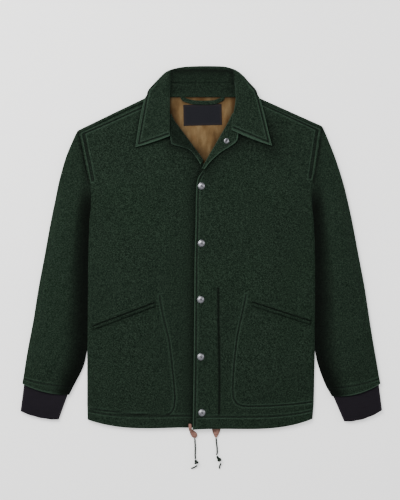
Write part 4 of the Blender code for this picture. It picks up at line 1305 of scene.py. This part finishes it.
def tab_piece(name, table, finish):
    """Leather tab at the hem, with rounded edges."""
    rows = between(table, 1.4)
    side = np.array((-1, -0.85, -0.6, -0.3, 0, 0.3, 0.6, 0.85, 1))[None, :]
    x = rows[:, 0:1] + rows[:, 2:3] * side
    y = np.repeat(rows[:, 1:2], 9, axis=1)
    z = np.repeat(rows[:, 3:4], 9, axis=1) + 0.35 * (1 - side ** 2)
    rim = np.abs(side) ** 4 + 0 * x
    grid = np.dstack([x, y, z])[::-1]
    return wall(name, grid, LEATHER, finish, marks={"edge": rim[::-1]}, inset=0.4)


def turned_piece(name, profile, place_at, steps, finish, dark=None):
    """Round piece from a profile of radius and height, out from its axis and back underneath."""
    x, y, z = place_at
    turn = np.linspace(0, 2 * math.pi, steps, endpoint=False)
    rings = []
    for radius, height in profile:
        radius = max(radius, 0.02)
        rings.append(np.column_stack([x + radius * np.cos(turn), y + radius * np.sin(turn),
                                      np.full(steps, z + height)]))
    rings = np.array(rings)
    rows = len(profile)
    index = np.arange(rows * steps).reshape(rows, steps)
    index = np.hstack([index, index[:, :1]])
    faces = np.stack([index[:-1, :-1], index[1:, :-1], index[1:, 1:], index[:-1, 1:]], axis=-1).reshape(-1, 4)
    piece, _ = mesh_piece(name, place(rings.reshape(-1, 3)), faces, finish)
    points, _ = table_points(piece)
    # Marks the painted dark spot: a painted reflection on a cap's dome, painted shade in the socket's hollow.
    if dark:
        dark_x, dark_y, size = dark
        spot = np.exp(-((points[:, 0] - x - dark_x) ** 2 + (points[:, 1] - y - dark_y) ** 2) / size ** 2)
        mark(piece, "dark", spot)
    return piece


def rounded(profile, times=2):
    return corner_cut(np.array(profile, dtype=float), times, 0).tolist()


def snap_piece(name, x, y, z, finish):
    """Domed cap with a rolled rim and a shallow dimple."""
    radius = SNAP_DIAMETER / 2
    profile = rounded((
        (0, SNAP_HEIGHT * 0.86),
        (radius * 0.16, SNAP_HEIGHT * 0.88),
        (radius * 0.24, SNAP_HEIGHT),
        (radius * 0.5, SNAP_HEIGHT * 0.94),
        (radius * 0.76, SNAP_HEIGHT * 0.72),
        (radius * 0.86, SNAP_HEIGHT * 0.42),
        (radius * 0.9, SNAP_HEIGHT * 0.3),
        (radius * 0.97, SNAP_HEIGHT * 0.3),
        (radius, SNAP_HEIGHT * 0.14),
        (radius * 0.97, 0),
        (0, 0),
    ))
    return turned_piece(name, profile, (x, y, z), 40, finish, dark=(0.9, -0.4, 2.1))


def socket_piece(x, y, z, finish):
    """Open half of the neck snap, with a raised rim round a hollow."""
    radius = SOCKET_DIAMETER / 2
    profile = rounded((
        (0, 0.5),
        (radius * 0.34, 0.5),
        (radius * 0.44, 0.7),
        (radius * 0.5, 2.0),
        (radius * 0.62, 2.4),
        (radius * 0.74, 2.0),
        (radius * 0.82, 0.9),
        (radius * 0.96, 0.7),
        (radius, 0.4),
        (radius * 0.98, 0),
        (0, 0),
    ))
    return turned_piece("pewter_socket", profile, (x, y, z), 40, finish, dark=(0, 0, 2.4))


def cord_route(route):
    """Points of a free stretch of cord, on its centre line."""
    rows = between(route, CORD_DIAMETER * 0.5)
    z = CORD_DIAMETER / 2 + np.maximum(0.05, rows[:, 2])
    return np.column_stack([rows[:, :2], z])


def cord_piece(name, line, finish, radius=CORD_DIAMETER / 2, lay=9.0, strands=3, around=18):
    """Twisted cord along a line, its strands standing up from the grooves between them."""
    along = np.gradient(line, axis=0)
    along /= np.linalg.norm(along, axis=1, keepdims=True)
    run = np.concatenate([[0], np.cumsum(np.linalg.norm(np.diff(line, axis=0), axis=1))])
    side = np.cross(along, (0, 0, 1.0))
    side /= np.maximum(np.linalg.norm(side, axis=1, keepdims=True), 1e-6)
    up = np.cross(side, along)
    turn = np.linspace(0, 2 * math.pi, around, endpoint=False)[None, :]
    phase = strands * (turn - 2 * math.pi * run[:, None] / lay / strands * 1.0)
    strand = 0.5 + 0.5 * np.cos(phase)
    size = radius * (0.86 + 0.14 * strand)
    ends = np.minimum(run, run[-1] - run)[:, None]
    size = size * np.sqrt(np.clip(ends / radius, 0.0, 1.0) * 0.75 + 0.25)
    ring = (line[:, None, :] + side[:, None, :] * (np.cos(turn) * size)[..., None]
            + up[:, None, :] * (np.sin(turn) * size)[..., None])
    rows = len(line)
    index = np.arange(rows * around).reshape(rows, around)
    index = np.hstack([index, index[:, :1]])
    faces = np.stack([index[:-1, :-1], index[:-1, 1:], index[1:, 1:], index[1:, :-1]], axis=-1).reshape(-1, 4)
    caps = []
    for row in (index[0, :-1], index[-1, :-1][::-1]):
        for k in range(1, around // 2):
            caps.append((row[k - 1], row[around - k], row[around - 1 - k], row[k]))
    faces = np.concatenate([faces, np.array(caps)])
    ring[..., 2] = np.maximum(ring[..., 2], 0.02)
    piece, used = mesh_piece(name, place(ring.reshape(-1, 3)), faces, finish)
    mark(piece, "strand", strand.ravel()[used])
    return piece


def knot_piece(name, table, finish):
    """Tight overhand knot tied in the cord."""
    x0, y0, half_length, half_width, turn = table
    turn = math.radians(turn)
    t = np.linspace(0.45, 2 * math.pi - 0.45, 90)
    radius = CORD_DIAMETER / 2 * 0.86
    u = (np.sin(t) + 2 * np.sin(2 * t)) / 2.76
    v = (np.cos(t) - 2 * np.cos(2 * t)) / 3.0
    w = -np.sin(3 * t)
    along = u * (half_width - radius * 0.7)
    across = v * (half_length - radius)
    up = half_width * 0.92 + w * (half_width * 0.92 - radius)
    x = x0 + across * math.cos(turn) - along * math.sin(turn)
    y = y0 + across * math.sin(turn) + along * math.cos(turn)
    return cord_piece(name, np.column_stack([x, y, up]), finish, radius=radius, lay=7.0, around=14)


def spaced(line, step):
    """Points at an even step along a line, with the direction there."""
    line = np.asarray(line, dtype=float)
    run = np.concatenate([[0], np.cumsum(np.linalg.norm(np.diff(line, axis=0), axis=1))])
    count = max(2, int(run[-1] / step))
    where = np.linspace(step * 0.5, run[-1] - step * 0.5, count)
    points = np.column_stack([np.interp(where, run, line[:, k]) for k in range(2)])
    ahead = np.column_stack([np.interp(where + 0.5, run, line[:, k]) for k in range(2)])
    direction = ahead - points
    direction /= np.maximum(np.linalg.norm(direction, axis=1, keepdims=True), 1e-9)
    return points, direction


def stitches(name, carriers, lines, finish, step=3.3, length=2.3, radius=0.3, down=1, sunk=0.35):
    """Rows of sewing stitches lying in the cloth of their carriers, as one mesh."""
    trees = []
    for piece in carriers:
        mesh = piece.data
        corners = [v.co for v in mesh.vertices]
        trees.append(BVHTree.FromPolygons(corners, [tuple(p.vertices) for p in mesh.polygons]))
    around = 6
    rings = np.array(((-1.0, 0.35), (-0.72, 0.85), (0.0, 1.0), (0.72, 0.85), (1.0, 0.35)))
    turn = np.linspace(0, 2 * math.pi, around, endpoint=False)
    points = []
    faces = []
    for line in lines:
        centres, directions = spaced(line, step)
        for centre, direction in zip(centres, directions):
            hit = None
            start = Vector(place((centre[0], centre[1], 70.0 * down)))
            for tree in trees:
                found, normal, _, distance = tree.ray_cast(start, Vector((0, 0, -down)), 0.14)
                if found is not None and (hit is None or distance < hit[2]):
                    hit = (np.array(found), np.array(normal), distance)
            if hit is None:
                continue
            normal = hit[1] * (1 if hit[1][2] * down > 0 else -1)
            along = np.array((direction[0], direction[1], 0.0))
            along -= normal * along.dot(normal)
            along /= np.linalg.norm(along)
            side = np.cross(normal, along)
            base = hit[0] + normal * (radius - sunk) * MM
            first = len(points)
            for offset, size in rings:
                dip = -0.18 * abs(offset) ** 2
                for angle in turn:
                    across = side * math.cos(angle) * size + normal * (math.sin(angle) * size + dip)
                    points.append(base + along * (offset * length / 2 * MM) + across * radius * MM)
            for i in range(len(rings) - 1):
                for k in range(around):
                    a = first + i * around + k
                    b = first + i * around + (k + 1) % around
                    faces.append((a, a + around, b + around, b))
    piece, _ = mesh_piece(name, np.array(points), faces, finish)
    return piece


def panel_edge(table, inset, low, high, outer=False):
    """Line up a front, an inset in from its front edge or, with outer, from its side."""
    rows = between(table, 8.0)
    key = 3 if outer else 1
    rows = rows[(rows[:, key] >= low) & (rows[:, key] <= high)]
    edge = rows[:, 2:4] if outer else rows[:, 0:2]
    inward = rows[:, 0:2] - rows[:, 2:4] if outer else rows[:, 2:4] - rows[:, 0:2]
    inward = inward / np.linalg.norm(inward, axis=1, keepdims=True)
    return edge + inward * inset


# Lines of sewing through the pocket bags
POCKET_RIGHT = (
    (-87.1, 284.7), (-83.5, 262), (-78.9, 237.8), (-72.6, 213), (-66.7, 189.2), (-61.8, 150), (-58.1, 114),
    (-55.2, 84), (-53.8, 64.5), (-55.6, 46), (-60.2, 35.5), (-66.8, 29.6), (-76, 27.4), (-110, 28),
    (-160, 31.5), (-200, 36), (-236, 40.5),
)
POCKET_LEFT = (
    (98.9, 287.2), (95.4, 268), (91.4, 249.4), (84.6, 220), (78.9, 189.2), (74.4, 150), (71.4, 114),
    (70.4, 84), (72.2, 64), (79, 52.5), (90, 47.6), (103.2, 46.6), (150, 47.4), (200, 51), (241, 56),
)
COLLAR_ROWS = (((-68, 632.5), (-131.5, 611), (-114.5, 707), (-110, 727), (-96, 740)),
               ((71, 646.5), (147, 615), (125, 705), (117.5, 727), (105, 740)))
LAPEL_ROWS = (((0, 571.5), (-8.4, 585.5), (-22, 601), (-40, 609.5)),
              ((14, 576), (24, 577), (43, 596.5), (61, 609), (76, 621)))
SHOULDER_RIGHT_ROW = ((-252, 632), (-190, 659), (-122, 690))
SHOULDER_LEFT_ROW = ((254, 640), (196, 667), (132, 697))
ARM_STITCHES_IN = (7.0, 10.6)     # the two rows of sewing beside an armhole
FRONT_STITCH_IN = 4.6             # the row beside the front edge
SLEEVE_HEM_HEIGHT = 106           # height of the row above a sleeve's hem
FACING_LINE = ((41, 30), (41.6, 90), (41.4, 150), (40.6, 190), (39.6, 240), (39, 300))
ARMHOLES = ((-260.2, 638.6), (-240, 529), (-240, 528), (244, 528), (244, 529), (260, 641))
LAPEL_RIGHT_EDGE = [row[2:4] for row in LAPEL_RIGHT]
LAPEL_LEFT_EDGE = [row[2:4] for row in LAPEL_LEFT]
# Where the lining lies in shade: line, reach and amount
LINING_SHADE = (
    ([row[:2] for row in LAPEL_RIGHT], 9.0, 0.5),
    ([row[:2] for row in LAPEL_LEFT], 7.0, 0.35),
    (((-66, 711), (78, 711)), 5.0, 0.55),
    (((-34, 703), (6, 696), (46, 704)), 6.0, 0.4),
    (((4, 566), (4, 590)), 13.0, 0.4),
)
LINING_WRINKLES = (
    (-30, 680, 84, 34, 5, 1.3),
    (-44, 668, 100, 36, 4, 0.9),
    (-8, 628, 96, 30, 5, 1.5),
    (4, 620, 90, 34, 3.5, -0.6),
    (14, 634, 84, 36, 5, 1.6),
    (30, 640, 98, 34, 5, 1.2),
    (46, 676, 92, 36, 4.5, 1.4),
    (58, 680, 84, 30, 4, 1.1),
    (22, 604, 78, 26, 4, 1.0),
    (-56, 690, 92, 24, 4, 0.9),
    (66, 694, 96, 22, 3.5, 0.8),
)


def shadowed(piece, line, reach, amount, side=None):
    """Paints shade on a piece beside an edge that lies on it, over a reach in millimetres."""
    points, _ = table_points(piece)
    x = points[:, 0]
    y = points[:, 1]
    near = amount * np.exp(-(away(line, x, y) / reach) ** 1.3)
    if side is not None:
        near = near * side(x, y)
    mark(piece, "recess", 1 - (1 - measure(piece, "recess")) * (1 - near))


def paint_edge_highlight(piece, line, reach=1.9, amount=0.75):
    """Paints a highlight along a turned edge."""
    points, _ = table_points(piece)
    near = amount * np.exp(-(away(line, points[:, 0], points[:, 1]) / reach) ** 2)
    mark(piece, "edge", np.maximum(measure(piece, "edge"), near))


def paint_rim_highlight(piece, amount=0.7):
    """Paints a highlight where the cloth turns down at its edges."""
    _, normals = table_points(piece)
    turned = np.clip((0.8 - normals[:, 2]) / 0.6, 0, 1) * ease(-0.35, -0.05, normals[:, 2]) * amount
    mark(piece, "edge", np.maximum(measure(piece, "edge"), turned))


def sleeve_line(row, first, last):
    """Line across a sleeve along one of its rings."""
    t = np.linspace(first, last, 24)
    dip = row[5] * 4 * t * (1 - t)
    return np.column_stack([mix(row[0], row[2], t), mix(row[1], row[3], t) + dip])


class Jacket:
    """The pieces by name, each riding on the one body and standing for its node."""

    def __init__(self):
        self.made = {}

    def keep(self, piece, node, slot):
        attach(piece, "root")
        if node:
            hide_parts(node)
        self.made[piece.name] = piece
        return piece

    def __getitem__(self, name):
        return self.made[name]

    def welts(self, side):
        return [self[f"wool_welt_{side}_{level}"] for level in ("upper", "lower")]


def drawcord_ends(jacket):
    """The free ends of the drawcord, each with its knot and tail."""
    twist = twisted_cord()
    slot = "green_drawcord"
    for side, route, tail, knot in (("right", CORD_RIGHT, TAIL_RIGHT, KNOT_RIGHT),
                                    ("left", CORD_LEFT, TAIL_LEFT, KNOT_LEFT)):
        line = cord_route(route)
        main = jacket.keep(cord_piece(f"green_cord_{side}", line, twist), f"cord_{side}", slot)
        end = jacket.keep(cord_piece(f"green_tail_{side}", cord_route(tail), twist), f"tail_{side}", slot)
        tied = jacket.keep(knot_piece(f"green_knot_{side}", knot, twist), f"knot_{side}", slot)
        route_m = place(line)


def cloth_and_trims(jacket):
    """Every piece of cloth, then the metal and leather."""
    wool = felted_wool("green_wool")
    knit = rib_knit()
    metal = pewter()
    hide = waxed_leather()
    cloth = (
        (back_piece(wool), "back", "green_wool"),
        (front_piece("wool_front_right", FRONT_RIGHT, right_front_face, wool), "front_right", "green_wool"),
        (front_piece("wool_front_left", FRONT_LEFT, left_front_face, wool), "front_left", "green_wool"),
        (sleeve_piece("wool_sleeve_right", SLEEVE_RIGHT, wool), "sleeve_right", "green_wool"),
        (sleeve_piece("wool_sleeve_left", SLEEVE_LEFT, wool), "sleeve_left", "green_wool"),
        (cuff_piece("rib_cuff_right", SLEEVE_RIGHT, CUFF_RIGHT_EDGE, knit), "cuff_right", "dark_rib_knit"),
        (cuff_piece("rib_cuff_left", SLEEVE_LEFT, CUFF_LEFT_EDGE, knit), "cuff_left", "dark_rib_knit"),
        (collar_piece(wool), "collar", "green_wool"),
        (stand_piece(wool), "collar_stand", "green_wool"),
        (lapel_piece("wool_lapel_right", LAPEL_RIGHT, under_front_top, wool), "lapel_right", "green_wool"),
        (lapel_piece("wool_lapel_left", LAPEL_LEFT, over_front_top, wool), "lapel_left", "green_wool"),
        (lining_piece(brushed_cotton()), "lining", "tan_lining"),
        (label_piece(woven_label()), "label", "navy_label"),
        (hanger_piece(wool), "hanger_loop", "green_wool"),
    )
    for piece, node, slot in cloth:
        jacket.keep(piece, node, slot)
    for side, slit, face in (("right", SLIT_RIGHT, right_front_face), ("left", SLIT_LEFT, left_front_face)):
        for level, offset, width in (("upper", SEAM, UPPER_WELT), ("lower", -SEAM - LOWER_WELT, LOWER_WELT)):
            welt = welt_piece(f"wool_welt_{side}_{level}", slit, offset, width, face, wool)
            jacket.keep(welt, f"welt_{side}_{level}", "green_wool")
    for number, (x, y) in enumerate(SNAPS, start=1):
        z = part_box(f"snap_{number}")[0][2] / MM
        jacket.keep(snap_piece(f"pewter_cap_{number}", x, y, z, metal), f"snap_{number}", "pewter_snap")
    socket_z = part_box("snap_socket")[0][2] / MM
    jacket.keep(socket_piece(*SOCKET, socket_z, metal), "snap_socket", "pewter_snap")
    for side, table in (("right", TAB_RIGHT), ("left", TAB_LEFT)):
        jacket.keep(tab_piece(f"leather_tab_{side}", table, hide), f"tab_{side}", "brown_leather")


def sew(jacket):
    """Rows of sewing, pressed into the cloth and stitched."""
    thread = sewing_thread()

    def row_of_stitches(name, carriers, lines):
        jacket.keep(stitches(name, carriers, lines, thread), None, "green_wool")

    front_stitch = panel_edge(FRONT_LEFT, FRONT_STITCH_IN, 0, 548)
    arm_right = [panel_edge(FRONT_RIGHT, inset, 529, 628, outer=True) for inset in ARM_STITCHES_IN]
    arm_left = [panel_edge(FRONT_LEFT, inset, 534, 636, outer=True) for inset in ARM_STITCHES_IN]
    hem_right = section_line(FRONT_RIGHT, 25, 0.16, 0.985)
    hem_left = section_line(FRONT_LEFT, 22, 0.03, 0.985)
    right_lines = [POCKET_RIGHT, hem_right, *arm_right, np.array(SHOULDER_RIGHT_ROW)]
    left_lines = [POCKET_LEFT, hem_left, front_stitch, *arm_left, np.array(SHOULDER_LEFT_ROW)]
    front_right = jacket["wool_front_right"]
    front_left = jacket["wool_front_left"]
    press(front_right, right_lines)
    press(front_left, left_lines)
    press(front_left, [FACING_LINE], width=3.2, depth=0.5, ridge=0.12)
    row_of_stitches("sewing_front_right", [front_right], right_lines)
    row_of_stitches("sewing_front_left", [front_left], left_lines)

    sleeves = [jacket["wool_sleeve_right"], jacket["wool_sleeve_left"]]
    sleeve_hems = []
    for table in (SLEEVE_RIGHT, SLEEVE_LEFT):
        rings = between(table, 2.0)
        row = rings[np.argmin(np.abs(rings[:, 1] - SLEEVE_HEM_HEIGHT))]
        sleeve_hems.append(sleeve_line(row, 0.02, 0.98))
    for sleeve, hem in zip(sleeves, sleeve_hems):
        press(sleeve, [hem])
    row_of_stitches("sewing_sleeves", sleeves, sleeve_hems)
    press(jacket["wool_collar"], COLLAR_ROWS, depth=0.6)
    row_of_stitches("sewing_collar", [jacket["wool_collar"]], COLLAR_ROWS)
    row_of_stitches("sewing_lapels", [jacket["wool_lapel_right"], jacket["wool_lapel_left"]], LAPEL_ROWS)


def shade_sleeve(sleeve):
    """Paints shade on a sleeve along the body and beside the armhole."""
    across = measure(sleeve, "across")
    points, _ = table_points(sleeve)
    deep = ease(0.55, 0.94, across) * ease(560, 470, points[:, 1]) * 0.86
    seam_side = np.exp(-(away(ARMHOLES, points[:, 0], points[:, 1]) / 6.0) ** 1.4) * 0.7
    mark(sleeve, "recess", np.maximum(deep, seam_side))


def shade_neck(jacket, neck):
    """Paints shade on the inside of the neck."""
    for name in ("wool_collar", "wool_stand"):
        points, _ = table_points(jacket[name])
        x = points[:, 0]
        y = points[:, 1]
        inside = ease(712, 722, y) * ease(-66, -60, x) * ease(78, 70, x) * ease(777, 768, y)
        beside = np.exp(-(away(neck, x, y) / 9.0) ** 1.4)
        mark(jacket[name], "recess", inside * (0.22 + 0.5 * beside))
    lining = jacket["tan_lining"]
    for line, reach, amount in ((neck, 9.0, 0.45), *LINING_SHADE):
        shadowed(lining, line, reach, amount)


def shade(jacket):
    """Painted shade where one layer lies over another, painted highlights along turned edges."""
    front_right = jacket["wool_front_right"]
    front_left = jacket["wool_front_left"]
    collar = jacket["wool_collar"]
    lapels = ((jacket["wool_lapel_left"], LAPEL_LEFT_EDGE), (jacket["wool_lapel_right"], LAPEL_RIGHT_EDGE))
    sleeves = ((SLEEVE_RIGHT, jacket["wool_sleeve_right"]), (SLEEVE_LEFT, jacket["wool_sleeve_left"]))
    pockets = ((SLIT_RIGHT, front_right, jacket.welts("right")),
               (SLIT_LEFT, front_left, jacket.welts("left")))
    edge_left = panel_edge(FRONT_LEFT, 0.0, -4, 553)
    leaf_right = np.array([row[:2] for row in LEAF_RIGHT[:1]] + [row[2:4] for row in LEAF_RIGHT])
    leaf_left = np.array([row[:2] for row in LEAF_LEFT[-1:]] + [row[2:4] for row in LEAF_LEFT[::-1]])
    shadowed(front_right, edge_left, 13.0, 0.62, lambda x, y: 1 - ease(545, 575, y))
    shadowed(front_right, leaf_right, 5.0, 0.45)
    shadowed(front_left, leaf_left, 20.0, 0.6, lambda x, y: ease(690, 640, y))
    for _, sleeve in sleeves:
        shade_sleeve(sleeve)
    neck = [row[:2] for row in LEAF_RIGHT] + [row[2:4] for row in TURN_RIGHT]
    neck += [row[2:4] for row in TURN_LEFT] + [row[:2] for row in LEAF_LEFT]
    shade_neck(jacket, neck)
    # Painted shade on the right lapel's facing, deep in the neck.
    points, _ = table_points(jacket["wool_lapel_right"])
    mark(jacket["wool_lapel_right"], "recess", 0.5 * ease(560, 600, points[:, 1]))
    shadowed(front_left, LAPEL_LEFT_EDGE, 16.0, 0.55)
    shadowed(front_right, LAPEL_RIGHT_EDGE, 15.0, 0.6)
    for lapel, edge in lapels:
        paint_edge_highlight(lapel, edge, amount=1.0)
    # Painted rim highlights where the cloth turns down.
    rim_highlighted = [front_right, front_left, collar]
    rim_highlighted += [sleeve for _, sleeve in sleeves] + [lapel for lapel, _ in lapels]
    rim_highlighted += jacket.welts("right") + jacket.welts("left")
    for piece in rim_highlighted:
        paint_rim_highlight(piece)
    for table, sleeve in sleeves:
        paint_edge_highlight(sleeve, sleeve_line(table[-1], 0.0, 1.0), 2.2, 0.9)
    for slit, front, welts in pockets:
        for piece in (front, *welts):
            shadowed(piece, (slit[:2], slit[2:]), 1.5, 0.9)
        under = ((slit[0], slit[1] - LOWER_WELT), (slit[2], slit[3] - LOWER_WELT))
        shadowed(front, under, 3.0, 0.5)
    paint_edge_highlight(front_left, edge_left)
    paint_edge_highlight(collar, leaf_right)
    paint_edge_highlight(collar, leaf_left)


def build_jacket():
    jacket = Jacket()
    drawcord_ends(jacket)
    cloth_and_trims(jacket)
    sew(jacket)
    shade(jacket)
    return jacket.made


def lay_floor():
    size = 4.0
    corners = [(-size, -size, -0.0004), (size, -size, -0.0004), (size, size, -0.0004), (-size, size, -0.0004)]
    floor, _ = mesh_piece("pale_floor", corners, [(0, 1, 2, 3)], pale_floor())


def light(name, where, aim, size, power, colour):
    data = bpy.data.lights.new(name, "AREA")
    data.shape = "RECTANGLE"
    data.size = size[0]
    data.size_y = size[1]
    data.energy = power
    data.color = colour
    item = bpy.data.objects.new(name, data)
    item.location = where
    item.rotation_euler = (Vector(aim) - Vector(where)).to_track_quat("-Z", "Y").to_euler()
    bpy.context.scene.collection.objects.link(item)


def light_studio():
    light("soft_above", (-1.1, 1.3, 1.9), (0, 0, 0), (1.5, 1.3), 78, (1.0, 0.99, 0.97))
    light("soft_left", (-1.9, 0.4, 0.9), (-0.1, 0, 0), (0.9, 1.8), 15, (1.0, 1.0, 1.0))
    light("soft_right", (1.9, 0.5, 0.9), (0.1, 0, 0), (0.9, 1.8), 16, (1.0, 1.0, 1.0))
    world = bpy.data.worlds.new("pale_room")
    bpy.context.scene.world = world
    world.use_nodes = True
    backdrop = world.node_tree.nodes["Background"]
    backdrop.inputs["Color"].default_value = (1.0, 1.0, 1.0, 1.0)
    backdrop.inputs["Strength"].default_value = 0.8


def set_camera():
    """Straight above, with the photograph's frame of 0.86 by 1.075 metres at the cloth."""
    frame_width = 400 * 2.15 * MM
    frame_height = 500 * 2.15 * MM
    height = 3.4
    data = bpy.data.cameras.new("above")
    data.sensor_fit = "HORIZONTAL"
    data.sensor_width = 36.0
    data.lens = 36.0 * height / frame_width
    data.clip_end = 30.0
    camera = bpy.data.objects.new("above", data)
    centre = place((0.0, 500 * 2.15 / 2 - 72 * 2.15, 0.0))
    camera.location = (centre[0], centre[1], height + 0.009)
    bpy.context.scene.collection.objects.link(camera)
    bpy.context.scene.camera = camera
    return frame_height


set_camera()
lay_floor()
light_studio()
jacket = build_jacket()
